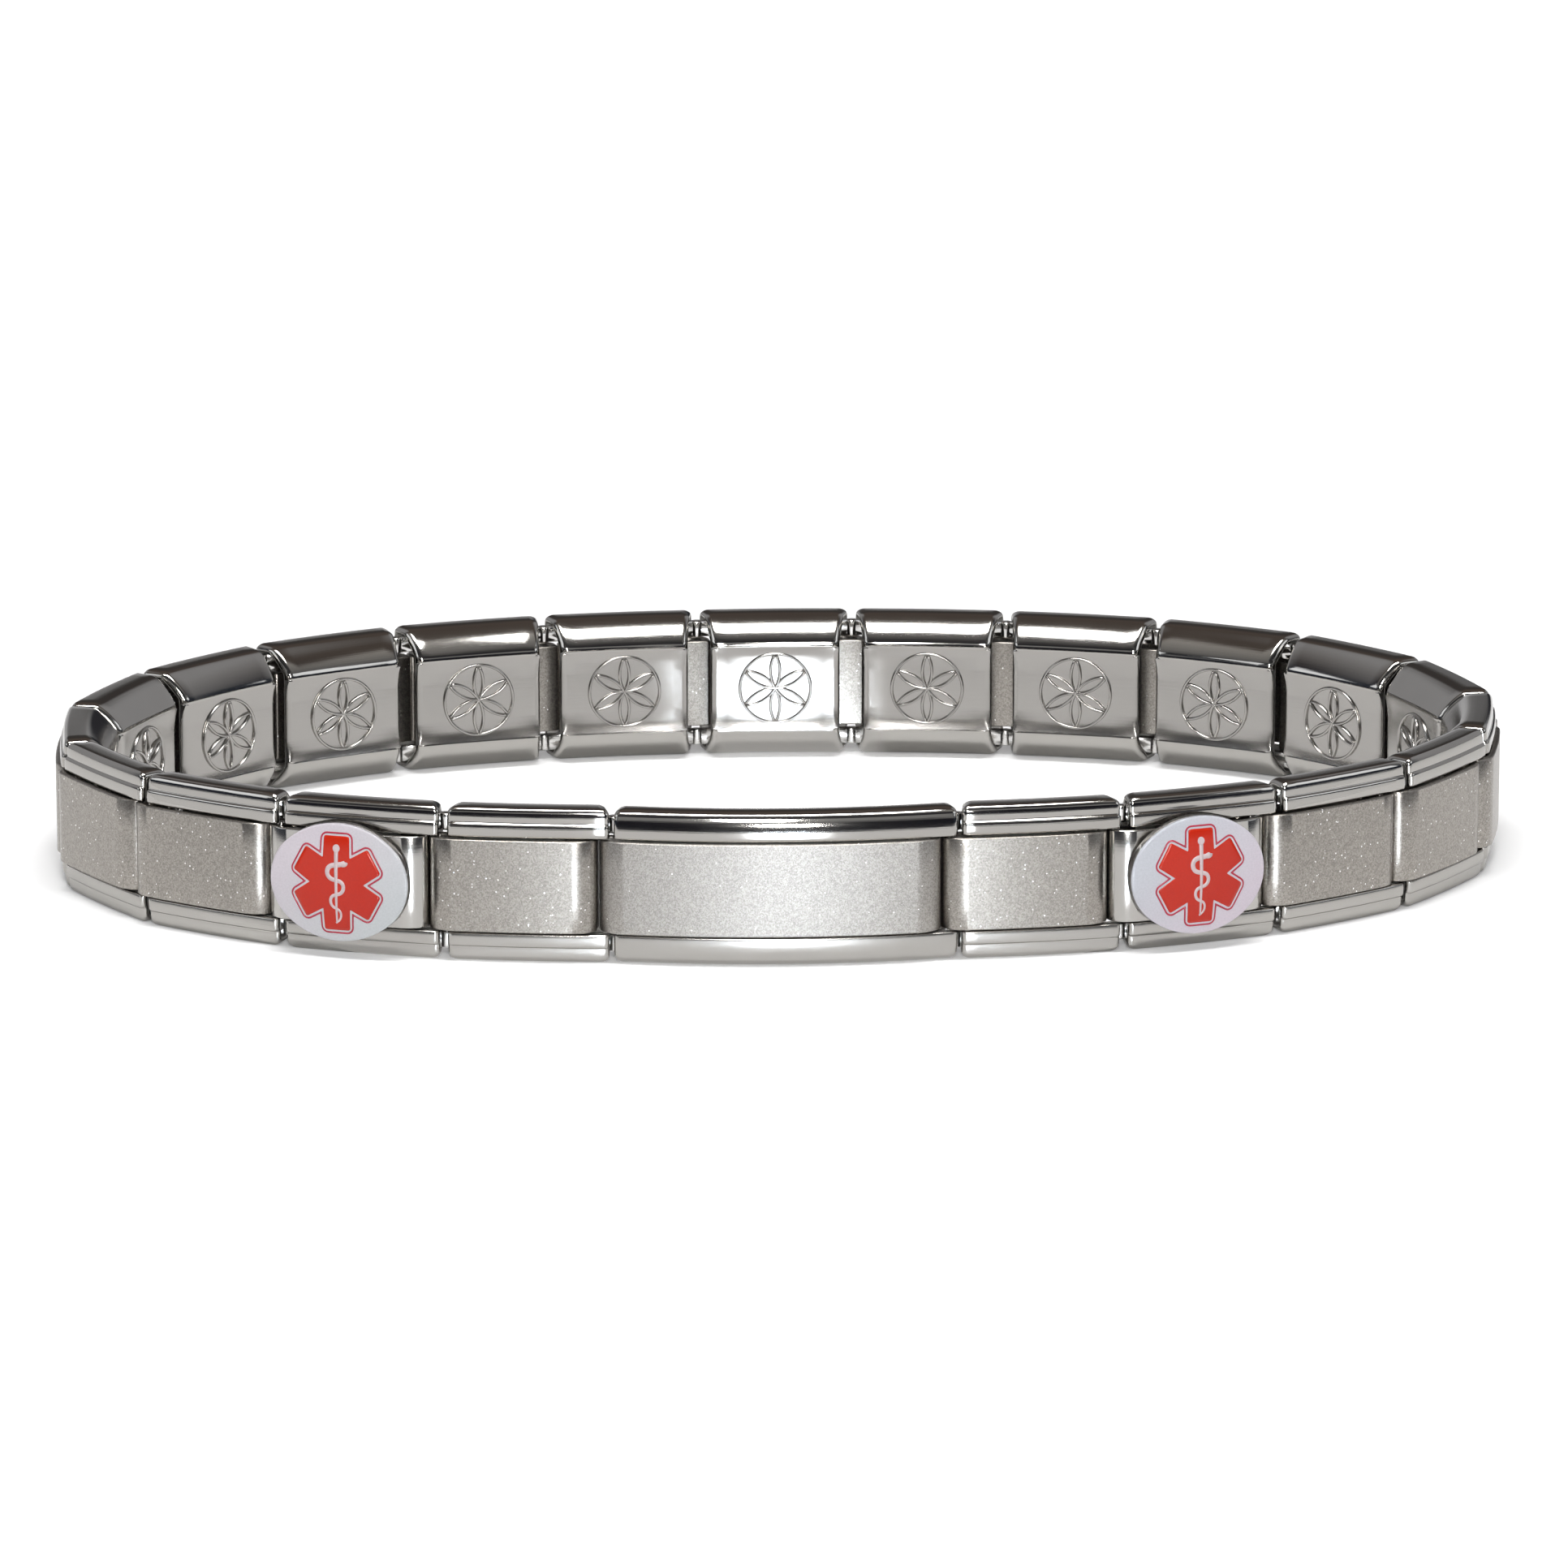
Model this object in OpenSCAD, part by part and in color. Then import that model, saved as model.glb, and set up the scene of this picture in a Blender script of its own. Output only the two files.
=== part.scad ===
// Medical alert bracelet: a closed chain of flat steel links, each a folded sheet frame with a
// plate set into its outer side. One link is double, for the identity plate, and two carry an
// oval badge. Millimetres. The chain lies on its edge on z = 0, with the identity plate at -Y.

/* [Chain] */
// Length of a single link along the chain, from joint to joint
pitch = 9.8; // [9.2:0.1:12]
// Height of the band, from the bottom of its rails to their top
band_h = 9; // [8:0.1:11]
// Gap between neighbouring link frames at their outer faces
outer_gap = 0.45; // [0.3:0.05:0.8]
// Angle by which the ends of a link frame lean in, so that the chain can bend
end_lean = 14; // [13.5:0.5:17]

/* [Link frames] */
// Thickness of a link frame, from its outer rail face to its inner lips
frame_t = 3.3; // [3:0.1:3.8]
// Thickness of the sheet that a frame is folded from
sheet_t = 0.4; // [0.3:0.05:0.45]
// Height of the rail along each edge of the band
rail_h = 1.7; // [1.5:0.1:2]
// Height of the proud step of a rail, next to the plate
step_h = 0.8; // [0.5:0.05:1]
// Depth of that step
step_d = 0.18; // [0.05:0.01:0.25]
// Radius of the rail's outer edge
edge_r = 0.35; // [0.2:0.05:0.45]
// Width of the flat along the rail's edge of the band
rail_flat = 1.2; // [1:0.05:1.4]
// Height of the lip between the rail's slope and the back of the frame
lip_h = 0.2; // [0.1:0.05:0.3]
// Depth of the back below the lips
back_recess = 0.15; // [0.05:0.05:0.25]
// Radius of the bow of a single link
bow_r = 60; // [45:1:120]
// Radius of the bow of the double link
id_bow_r = 43; // [38:1:90]

/* [Rosette on the backs] */
// Diameter over the ring of the rosette
rosette_d = 4.6; // [3:0.1:4.9]
// Width of its raised lines
rosette_line = 0.2; // [0.15:0.01:0.3]
// Height of its raised lines
rosette_h = 0.1; // [0.05:0.01:0.15]

/* [Front plates] */
// Thickness of a front plate
plate_t = 0.45; // [0.3:0.05:0.45]
// Height of a plate's face above the rails
plate_proud = 0.25; // [0.1:0.05:0.4]
// Gap between neighbouring plates
plate_gap = 0.3; // [0.25:0.05:0.6]
// Distance by which the plates sit to the left of their frames, seen from outside
plate_shift = 0.9; // [0.3:0.05:0.95]
// Radius of the bend at each end of a plate
plate_bend_r = 0.7; // [0.55:0.05:0.7]
// Radius of the fold at the back of each end
plate_fold_r = 0.5; // [0.48:0.01:0.5]
// Depth of a plate's bent ends, from its face
hook_d = 1.2; // [1.2:0.05:1.3]
// Width of the folds behind a plate's ends
plate_fold = 1.5; // [1:0.1:2]
// Clearance between a plate and the rails above and below it
plate_fit = 0.08; // [0.05:0.01:0.15]

/* [Badges] */
// Width of a badge, along the band
badge_w = 8.3; // [7:0.1:8.6]
// Height of a badge
badge_h = 6.9; // [6:0.1:7.4]
// Radius of the tighter ends of the badge's oval
badge_end_r = 3; // [2.6:0.1:3.2]
// Height of the badge's back above its plate
badge_lift = 0.15; // [0.1:0.05:0.3]
// Thickness of the metal cup of the badge
cup_t = 0.45; // [0.45:0.05:0.8]
// Thickness of the cup's wall around the face
cup_wall = 0.2; // [0.15:0.05:0.3]
// Depth of the cup
cup_d = 0.25; // [0.15:0.05:0.3]
// Radius of the dome of the badge's face
dome_r = 20; // [18:1:30]
// Height of the dome's top above the cup
dome_h = 0.6; // [0.58:0.01:0.7]
// Clearance between the face and the cup
face_fit = 0.04; // [0.03:0.01:0.06]
// Width of the neck that joins a badge to its plate
neck_w = 5.4; // [4:0.1:6]
// Height of that neck
neck_h = 4.4; // [3.5:0.1:4.8]

/* [Staples] */
// Depth of the staples' middle below the outer rail face
staple_in = 1.15; // [1.1:0.05:1.3]
// Width of a staple's bars
staple_w = 0.6; // [0.4:0.05:0.7]
// Diameter of its pivot
pivot_d = 0.8; // [0.6:0.05:0.9]
// Length of a staple's bar inside each rail
staple_grip = 1.3; // [1:0.1:2]
// Clearance above and below a staple in its rail
staple_fit = 0.15; // [0.1:0.01:0.2]

/* [Hidden] */
// Heading of each link in degrees, anticlockwise from the left end of the front
headings = [-33, -16.5, -5, 2.5, 11, 22.5, 37.5, 58, 83.5, 111, 134.5,
            153, 167, 176, 182.5, 189.5, 199, 212, 229, 248.5, 273, 302.5];
// Places in that list of the double link and of the two links with a badge
id_link = 3;
badge_links = [1, 5];

links = len(headings);
each_link = [for (i = [0:links - 1]) i];
round_fn = 96;
bow_fn = 360;
// What a cutting shape reaches past the piece that it cuts
spare = 1;

function is_badge(i) = len([for (b = badge_links) if (b == i) b]) > 0;
function two_digits(i) = str(i < 10 ? "0" : "", i);
function frame_name(i) = str("frame_", two_digits(i + 1), i == id_link ? "_double" : "");
function plate_name(i) =
  i == id_link ? "identity_plate" : str(is_badge(i) ? "badge_plate_" : "front_plate_", two_digits(i + 1));
function face_name(i) = str("badge_face_", two_digits(i + 1));

// Plan of the chain: its joints lie on the outer rail faces, one pitch apart, or two at the
// double link, and the last rounding of the headings is shared out among them.
function link_len(i) = (i == id_link ? 2 : 1) * pitch;
function heading_vec(a) = [cos(a), sin(a)];
function open_joint(i) = i == 0 ? [0, 0] : open_joint(i - 1) + link_len(i - 1) * heading_vec(headings[i - 1]);
closing_error = open_joint(links);
function closed_joint(i) = open_joint(i % links) - closing_error * (i % links) / links;
function chord(i) = closed_joint(i + 1) - closed_joint(i);
function link_heading(i) = atan2(chord(i % links)[1], chord(i % links)[0]);
function outward(a) = [sin(a), -cos(a)];

// Bow of a link: the distance from its chord to its crown, and from its chord to the bow's centre
function link_bow_r(i) = i == id_link ? id_bow_r : bow_r;
function bow_depth(i) = sqrt(pow(link_bow_r(i), 2) - pow(norm(chord(i)) / 2, 2));
function crown(i) = link_bow_r(i) - bow_depth(i);
badge_reach = badge_lift + cup_t + dome_h;
function link_reach(i) = crown(i) + plate_proud + (is_badge(i) ? badge_reach : 0);
function link_mid(i) = (closed_joint(i) + closed_joint(i + 1)) / 2;
outermost = [for (i = each_link) link_mid(i) + link_reach(i) * outward(link_heading(i))];
function middle(k) = (max([for (p = outermost) p[k]]) + min([for (p = outermost) p[k]])) / 2;
plan_middle = [middle(0), middle(1)];

// Puts its children into a link's own frame: x along the chain, y inwards, z up, with the origin
// in the middle between the link's joints.
module at_link(i) {
  place = link_mid(i) - plan_middle;
  translate([place[0], place[1], 0])
    rotate([0, 0, link_heading(i)])
      children();
}

// Puts its children at the centre of a link's bow.
module at_bow(i) {
  at_link(i) translate([0, bow_depth(i), 0]) children();
}

// The same, turned about that centre by the shift of the plates.
module at_plate(i) {
  at_bow(i) rotate([0, 0, -asin(plate_shift / link_bow_r(i))]) children();
}

// Outline of the rail along one edge of the band, as [depth below the outer face, distance from
// the band's edge], from the plate's slot over the edge to the back of the frame.
function rail_end(step) = step + edge_r + rail_flat;
function rail_slope(step) = atan2(rail_h, frame_t - rail_end(step));
function edge_arc(step) =
  [for (a = [0:15:90]) [step + edge_r * (1 - cos(a)), edge_r * (1 - sin(a))]];
function rail_front(step) =
  step > 0 ? [[0, rail_h], [0, rail_h - step_h], [step, rail_h - step_h]] : [[0, rail_h]];
function rail_outside(step) = concat(
  rail_front(step),
  edge_arc(step),
  [[rail_end(step), 0],
   [frame_t, rail_h],
   [frame_t, rail_h + lip_h],
   [frame_t - back_recess, rail_h + lip_h]]
);

// The same for the inner side of the folded sheet.
back_in = frame_t - back_recess - sheet_t;
function rail_inside(step) = [
  [sheet_t + step, rail_h],
  [sheet_t + step, sheet_t],
  [rail_end(step) - sheet_t * tan(rail_slope(step) / 2), sheet_t],
  [back_in, (back_in - rail_end(step)) * tan(rail_slope(step)) + sheet_t / cos(rail_slope(step))]
];

function at_bottom(points) = [for (p = points) [p[0], p[1]]];
function at_top(points) = [for (p = points) [p[0], band_h - p[1]]];
function backwards(points) = [for (k = [len(points) - 1:-1:0]) points[k]];

// Section of a frame across the band: one sheet, folded over a rail at each edge.
module frame_section(step) {
  polygon(concat(
    at_top(rail_outside(step)),
    backwards(at_bottom(rail_outside(step))),
    at_bottom(rail_inside(step)),
    backwards(at_top(rail_inside(step)))
  ));
}

// Revolves a section, drawn as [depth, height], about the centre of a link's bow.
module bowed(i) {
  sweep = 2 * asin((link_len(i) + spare) / 2 / link_bow_r(i));
  rotate([0, 0, 270 - sweep / 2])
    rotate_extrude(angle = sweep, $fn = bow_fn)
      translate([link_bow_r(i), 0]) mirror([1, 0]) children();
}

// Plan of a frame between its leaning ends, as a block over the whole band.
module between_ends(i) {
  half = (norm(chord(i)) - outer_gap) / 2;
  lean = tan(end_lean);
  front = crown(i) + spare;
  back = frame_t + spare;
  linear_extrude(band_h)
    polygon([
      [-half - lean * front, -front], [half + lean * front, -front],
      [half - lean * back, back], [-half + lean * back, back]
    ]);
}

module ring(radius, width) {
  difference() {
    circle(r = radius, $fn = round_fn);
    circle(r = radius - width, $fn = round_fn);
  }
}

// Six-petal rosette in a ring, drawn with a compass: each arc is centred on the ring and passes
// through its middle.
module rosette_lines() {
  line_r = (rosette_d - rosette_line) / 2;
  ring(rosette_d / 2, rosette_line);
  intersection() {
    circle(r = line_r, $fn = round_fn);
    union() {
      for (a = [0:60:300])
        translate(line_r * heading_vec(a + 30))
          ring(line_r + rosette_line / 2, rosette_line);
    }
  }
}

// The rosette, raised on the middle of a frame's back.
module rosette(i) {
  back_face = frame_t - back_recess - crown(i);
  translate([0, back_face + rosette_h, band_h / 2])
    rotate([90, 0, 0])
      linear_extrude(rosette_h + sheet_t / 2) rosette_lines();
}

module frame(i) {
  color("silver") at_link(i) {
    intersection() {
      translate([0, bow_depth(i), 0])
        bowed(i) frame_section(i == id_link ? 0 : step_d);
      between_ends(i);
    }
    if (i != id_link) rosette(i);
  }
}

// Plan of a closed loop with a bowed face, rounded ends and a flat back at a given depth below the
// face's crown. The centre of the bow is the origin, and the face is at -Y.
module bowed_loop(face_r, half_w, bend_r, fold_r, depth) {
  bend_x = half_w - bend_r;
  bend_y = -sqrt(pow(face_r - bend_r, 2) - pow(bend_x, 2));
  touch_x = bend_x * face_r / (face_r - bend_r);
  fold_x = half_w - fold_r;
  back_y = depth - face_r;
  fold_y = back_y - fold_r;
  intersection() {
    circle(r = face_r, $fn = 4 * bow_fn);
    translate([-touch_x, -face_r]) square([2 * touch_x, depth]);
  }
  translate([-half_w, bend_y]) square([2 * half_w, fold_y - bend_y]);
  translate([-fold_x, bend_y]) square([2 * fold_x, back_y - bend_y]);
  for (side = [-1, 1]) {
    translate([side * bend_x, bend_y]) circle(r = bend_r, $fn = round_fn);
    translate([side * fold_x, fold_y]) circle(r = fold_r, $fn = round_fn);
  }
}

// A front plate: a thin bowed face whose two ends are bent inwards and folded back behind it. It
// fills the slot between the rails of its frame.
module plate_body(i) {
  face_r = link_bow_r(i) + plate_proud;
  half_w = (norm(chord(i)) - plate_gap) / 2;
  depth = hook_d + crown(i);
  bottom = rail_h + plate_fit;
  open_w = 2 * (half_w - plate_fold);
  t = plate_t;
  translate([0, 0, bottom])
    linear_extrude(band_h - 2 * bottom)
      difference() {
        bowed_loop(face_r, half_w, plate_bend_r, plate_fold_r, depth);
        bowed_loop(face_r - t, half_w - t, plate_bend_r - t, plate_fold_r - t, depth - 2 * t);
        translate([-open_w / 2, depth - face_r - 1.5 * t]) square([open_w, spare + 1.5 * t]);
      }
}

module front_plate(i) {
  color(i == id_link ? "#c4c0b8" : "#b0aba3") at_plate(i) plate_body(i);
}

// Oval of four arcs: tight ends joined by flatter arcs above and below.
module oval(w, h, end_r) {
  end_x = w / 2 - end_r;
  rise = h / 2 - end_r;
  drop = (end_x * end_x - rise * rise) / (2 * rise);
  flat_r = h / 2 + drop;
  touch_x = flat_r * end_x / norm([end_x, drop]);
  intersection() {
    translate([0, -drop]) circle(r = flat_r, $fn = round_fn);
    translate([0, drop]) circle(r = flat_r, $fn = round_fn);
    square([2 * touch_x, h], center = true);
  }
  for (side = [-1, 1])
    translate([side * end_x, 0]) circle(r = end_r, $fn = round_fn);
}

// Stands its flat children up on a plate's crown, at a height above the plate's face.
module on_plate(i, height) {
  translate([0, -link_bow_r(i) - plate_proud - height, band_h / 2])
    rotate([90, 0, 0])
      children();
}

// The plate of a badge link: the badge's metal cup stands on it, on a short neck.
module badge_plate(i) {
  color("#9b9792") at_plate(i) {
    plate_body(i);
    on_plate(i, -plate_t / 2)
      linear_extrude(plate_t / 2 + badge_lift + (cup_t - cup_d) / 2)
        oval(neck_w, neck_h, badge_end_r * neck_h / badge_h);
    on_plate(i, badge_lift)
      difference() {
        linear_extrude(cup_t) oval(badge_w, badge_h, badge_end_r);
        translate([0, 0, cup_t - cup_d])
          linear_extrude(cup_d + spare)
            oval(badge_w - 2 * cup_wall, badge_h - 2 * cup_wall, badge_end_r - cup_wall);
      }
  }
}

// The badge's white face: seated in its cup, wider above it so that it hides the rim, and domed.
module badge_face(i) {
  rim = cup_wall + face_fit;
  seat = badge_lift + cup_t - cup_d + face_fit;
  face_h = cup_d - face_fit + dome_h;
  color("white") at_plate(i)
    on_plate(i, seat)
      intersection() {
        union() {
          linear_extrude(face_h) oval(badge_w - 2 * rim, badge_h - 2 * rim, badge_end_r - rim);
          translate([0, 0, cup_d])
            linear_extrude(dome_h) oval(badge_w, badge_h, badge_end_r);
        }
        translate([0, 0, face_h - dome_r]) sphere(r = dome_r, $fn = bow_fn);
      }
}

// Staples: at each joint a pivot with a bar into the rail on either side, one set along the top
// of the band and one along its bottom. Each bar follows the bow of its rail.
staple_h = rail_h - sheet_t - 2 * staple_fit;
function joint_turn(j) = link_heading(j) - link_heading(j + links - 1);
function joint_half_turn(j) = (joint_turn(j) + (joint_turn(j) < 0 ? 360 : 0)) / 2;
function end_turn(i) = asin(norm(chord(i % links)) / 2 / link_bow_r(i % links));

module staple(j) {
  half_turn = joint_half_turn(j);
  reach = outer_gap / 2 + staple_in * tan(end_lean) + staple_grip;
  inwards = -outward(link_heading(j) - half_turn);
  place = closed_joint(j) - plan_middle + inwards * staple_in / cos(half_turn);
  translate([place[0], place[1], 0]) {
    cylinder(d = pivot_d, h = staple_h, $fn = round_fn);
    rotate([0, 0, link_heading(j) - end_turn(j)])
      translate([0, -staple_w / 2, 0]) cube([reach, staple_w, staple_h]);
    rotate([0, 0, link_heading(j + links - 1) + end_turn(j + links - 1)])
      translate([-reach, -staple_w / 2, 0]) cube([reach, staple_w, staple_h]);
  }
}

module staples(bottom) {
  color("gainsboro")
    translate([0, 0, bottom])
      for (j = each_link) staple(j);
}

for (i = each_link) frame(i);
for (i = each_link)
  union() {
    if (is_badge(i)) badge_plate(i); else front_plate(i);
  }
for (i = badge_links) badge_face(i);
staples(band_h - sheet_t - staple_fit - staple_h);  // staples_top
staples(sheet_t + staple_fit);  // staples_bottom
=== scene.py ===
"""Looks of a medical alert bracelet: polished link frames, blasted plates, two printed badges.

Every piece is a surface worked out with numpy in millimetres and put into its mesh in metres. The
chain's plan repeats the one of the solids, and each piece stands in the place of its solid.
"""
from __future__ import annotations

import logging
import math
from dataclasses import dataclass, replace
from enum import Enum

import bmesh
import bpy
import numpy as np
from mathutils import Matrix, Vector

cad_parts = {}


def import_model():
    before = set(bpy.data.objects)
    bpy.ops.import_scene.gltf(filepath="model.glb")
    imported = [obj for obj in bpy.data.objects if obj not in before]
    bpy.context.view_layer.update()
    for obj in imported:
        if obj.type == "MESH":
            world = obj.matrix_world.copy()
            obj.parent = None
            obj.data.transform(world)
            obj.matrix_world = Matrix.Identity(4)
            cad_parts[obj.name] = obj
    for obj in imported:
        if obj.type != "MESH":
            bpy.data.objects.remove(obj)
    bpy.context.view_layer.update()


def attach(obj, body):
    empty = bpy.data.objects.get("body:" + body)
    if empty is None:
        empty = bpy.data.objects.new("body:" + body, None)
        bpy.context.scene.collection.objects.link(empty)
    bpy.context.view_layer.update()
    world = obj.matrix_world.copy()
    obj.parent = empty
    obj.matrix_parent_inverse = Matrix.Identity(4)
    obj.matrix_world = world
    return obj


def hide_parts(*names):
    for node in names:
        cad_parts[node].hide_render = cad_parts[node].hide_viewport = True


LOG = logging.getLogger("bracelet")
Array = np.ndarray
Colour = tuple[float, float, float]
Range = tuple[float, float]
Material = bpy.types.Material
Node = bpy.types.Node
Socket = bpy.types.NodeSocket
MM = 0.001
MERGE = 2e-8
TINY = 1e-9
FACE_WEIGHT = 80
UV_MAP = "surface"


class Slot(Enum):
    """The record's material slots."""

    POLISHED = "polished_steel"
    MATTE = "matte_steel"
    IDENTITY = "identity_steel"
    BADGE_METAL = "badge_metal"
    PRINT = "badge_print"
    STAPLE = "staple_steel"


class Kind(Enum):
    """What a link carries, by the name of its node."""

    PLAIN = "front_plate"
    BADGE = "badge_plate"
    IDENTITY = "identity_plate"


def unit(angle: Array | float) -> Array:
    """Unit vectors at angles in radians."""
    return np.stack([np.cos(angle), np.sin(angle)], axis=-1)


def left_of(vector: Array) -> Array:
    """Flat vectors turned a quarter to the left."""
    return np.stack([-vector[..., 1], vector[..., 0]], axis=-1)


def full_turn(count: int) -> Array:
    """Even angles all the way round."""
    return np.linspace(0, 2 * np.pi, count, endpoint=False)


def quarter(count: int) -> Array:
    """Even angles from 0 to 90 degrees."""
    return np.linspace(0, np.pi / 2, count)


def paired(u: Array | float, v: Array | float) -> Array:
    """Points of two coordinates that broadcast together."""
    return np.stack(np.broadcast_arrays(u, v), axis=-1)


def run_length(path: Array) -> Array:
    """Distance along a path up to each of its points."""
    return np.concatenate([[0.0], np.cumsum(np.hypot(*np.diff(path, axis=0).T))])


def normals(path: Array, closed: bool = False) -> Array:
    """Unit vectors to the left of a flat path, at each of its points."""
    ends = np.roll(path, -1, 0) - np.roll(path, 1, 0) if closed else np.gradient(path, axis=0)
    return left_of(ends) / np.hypot(*ends.T)[:, None]


@dataclass(frozen=True)
class Band:
    """Sizes that all the links share, in millimetres."""

    height: float = 9.0
    pitch: float = 9.8
    outer_gap: float = 0.45
    end_lean: float = math.radians(14)
    bow_r: float = 60.0
    id_bow_r: float = 43.0

    @property
    def middle(self) -> float:
        """Level of the line midway between the band's edges."""
        return self.height / 2


@dataclass(frozen=True)
class Link:
    """Place of one link. From midway between its joints, x runs along the chain and y inwards."""

    number: int
    kind: Kind
    middle: Array
    heading: float
    length: float
    bow_r: float

    @property
    def bow_depth(self) -> float:
        """Distance from the chord between the joints to the centre of the bow."""
        return math.sqrt(self.bow_r**2 - (self.length / 2) ** 2)

    @property
    def crown(self) -> float:
        """Height of the bow above that chord."""
        return self.bow_r - self.bow_depth

    @property
    def single(self) -> bool:
        """Whether the link has the ordinary length."""
        return self.kind is not Kind.IDENTITY

    def world(self, x: Array | float, y: Array | float, z: Array | float) -> Array:
        """Turns the link's own coordinates into places on the bracelet.

        The point is the link's middle, plus x along its heading, plus y along the inward normal, at
        the height z above the board.

        Args:
            x, y, z: coordinates in millimetres, of shapes that broadcast together.

        Returns:
            An array of one more axis, with the three coordinates in millimetres.
        """
        along = unit(self.heading)
        x, y, z = np.broadcast_arrays(x, y, z)
        plan = self.middle + x[..., None] * along + y[..., None] * left_of(along)
        return np.concatenate([plan, z[..., None]], axis=-1)


@dataclass(frozen=True)
class Chain:
    """Plan of the closed chain, from each link's heading in degrees, as chosen for the solids."""

    band: Band
    headings: tuple[float, ...] = (
        -33, -16.5, -5, 2.5, 11, 22.5, 37.5, 58, 83.5, 111, 134.5,
        153, 167, 176, 182.5, 189.5, 199, 212, 229, 248.5, 273, 302.5,
    )
    identity: int = 3
    badges: tuple[int, ...] = (1, 5)
    badge_reach: float = 1.2
    plate_proud: float = 0.25

    def joints(self) -> Array:
        """Places of the joints: the running sum of link vectors, with its closing error shared out."""
        angle = np.radians(self.headings)
        lengths = self.band.pitch * np.where(np.arange(len(angle)) == self.identity, 2, 1)
        ends = np.vstack([np.zeros((1, 2)), np.cumsum(lengths[:, None] * unit(angle), axis=0)])
        share = np.arange(len(ends))[:, None] / len(angle)
        return ends - ends[-1] * share

    def kind(self, place: int) -> Kind:
        """What the link at a place in the chain carries."""
        if place == self.identity:
            return Kind.IDENTITY
        return Kind.BADGE if place in self.badges else Kind.PLAIN

    def links(self) -> list[Link]:
        """Places every link, centred on the middle of the plan's outermost tips."""
        joints = self.joints()
        made, tips = [], []
        for i, (start, end) in enumerate(zip(joints, joints[1:])):
            kind = self.kind(i)
            bow_r = self.band.id_bow_r if kind is Kind.IDENTITY else self.band.bow_r
            chord = end - start
            heading = math.atan2(chord[1], chord[0])
            link = Link(i + 1, kind, (start + end) / 2, heading, float(np.hypot(*chord)), bow_r)
            reach = link.crown + self.plate_proud + (self.badge_reach if kind is Kind.BADGE else 0)
            tips.append(link.world(0.0, -reach, 0.0)[:2])
            made.append(link)
        centre = (np.max(tips, axis=0) + np.min(tips, axis=0)) / 2
        return [replace(link, middle=link.middle - centre) for link in made]


@dataclass
class Patch:
    """A grid of points, in millimetres, that becomes quads.

    points has rows, columns and three coordinates, and uv the same with two, in millimetres along
    the surface. A closed axis joins its last line to its first.
    """

    points: Array
    uv: Array
    material: int | Array = 0
    close_rows: bool = False
    close_columns: bool = True

    def quads(self, first: int) -> Array:
        """Corner numbers of the quads, counted from a first vertex."""
        rows, columns = self.points.shape[:2]
        r = np.arange(rows if self.close_rows else rows - 1)[:, None]
        c = np.arange(columns if self.close_columns else columns - 1)[None, :]
        r2, c2 = (r + 1) % rows, (c + 1) % columns
        corners = [r * columns + c, r * columns + c2, r2 * columns + c2, r2 * columns + c]
        return first + np.stack(corners, axis=-1).reshape(-1, 4)

    def quad_uv(self) -> Array:
        """UV of each quad's corners. On a closed axis the last line's uv runs on past the first's."""
        uv = self.uv
        if self.close_rows:
            uv = np.concatenate([uv, 2 * uv[-1:] - uv[-2:-1]], axis=0)
        if self.close_columns:
            uv = np.concatenate([uv, 2 * uv[:, -1:] - uv[:, -2:-1]], axis=1)
        corners = [uv[:-1, :-1], uv[:-1, 1:], uv[1:, 1:], uv[1:, :-1]]
        return np.stack(corners, axis=2).reshape(-1, 2)

    def quad_materials(self) -> Array:
        """Material number of each quad, from one number or one for each column of quads."""
        rows = self.points.shape[0] - (0 if self.close_rows else 1)
        columns = self.points.shape[1] - (0 if self.close_columns else 1)
        return np.broadcast_to(self.material, (rows, columns)).reshape(-1)


def make_piece(name: str, patches: list[Patch], materials: list[Material]) -> bpy.types.Object:
    """Makes one object of closed patches, with its doubles merged and its faces outwards.

    Args:
        name: the object's name.
        patches: the closed surfaces that the object is made of.
        materials: its materials, in the order of the patches' numbers.

    Returns:
        The object, at the origin, with its place in its mesh.
    """
    mesh = bpy.data.meshes.new(name)
    points = np.concatenate([p.points.reshape(-1, 3) for p in patches]) * MM
    starts = np.cumsum([0] + [p.points.shape[0] * p.points.shape[1] for p in patches])
    quads = np.concatenate([p.quads(int(s)) for p, s in zip(patches, starts)])
    mesh.vertices.add(len(points))
    mesh.loops.add(quads.size)
    mesh.polygons.add(len(quads))
    numbers = np.concatenate([p.quad_materials() for p in patches])
    values = (
        (mesh.vertices, "co", points.astype(np.float32)),
        (mesh.loops, "vertex_index", quads.astype(np.int32)),
        (mesh.polygons, "loop_start", np.arange(0, quads.size, 4, dtype=np.int32)),
        (mesh.polygons, "material_index", numbers.astype(np.int32)),
        (mesh.polygons, "use_smooth", np.ones(len(quads), bool)),
    )
    for items, label, data in values:
        items.foreach_set(label, data.ravel())
    uv = np.concatenate([p.quad_uv() for p in patches])
    mesh.uv_layers.new(name=UV_MAP).uv.foreach_set("vector", uv.astype(np.float32).ravel())
    mesh.update(calc_edges=True)
    mesh.validate()
    shell = bmesh.new()
    shell.from_mesh(mesh)
    bmesh.ops.remove_doubles(shell, verts=shell.verts, dist=MERGE)
    bmesh.ops.dissolve_degenerate(shell, edges=shell.edges, dist=MERGE)
    bmesh.ops.recalc_face_normals(shell, faces=shell.faces)
    shell.to_mesh(mesh)
    shell.free()
    for material in materials:
        mesh.materials.append(material)
    piece = bpy.data.objects.new(name, mesh)
    bpy.context.scene.collection.objects.link(piece)
    weighted = piece.modifiers.new("even_shading", "WEIGHTED_NORMAL")
    weighted.keep_sharp = False
    weighted.weight = FACE_WEIGHT
    return piece


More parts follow.
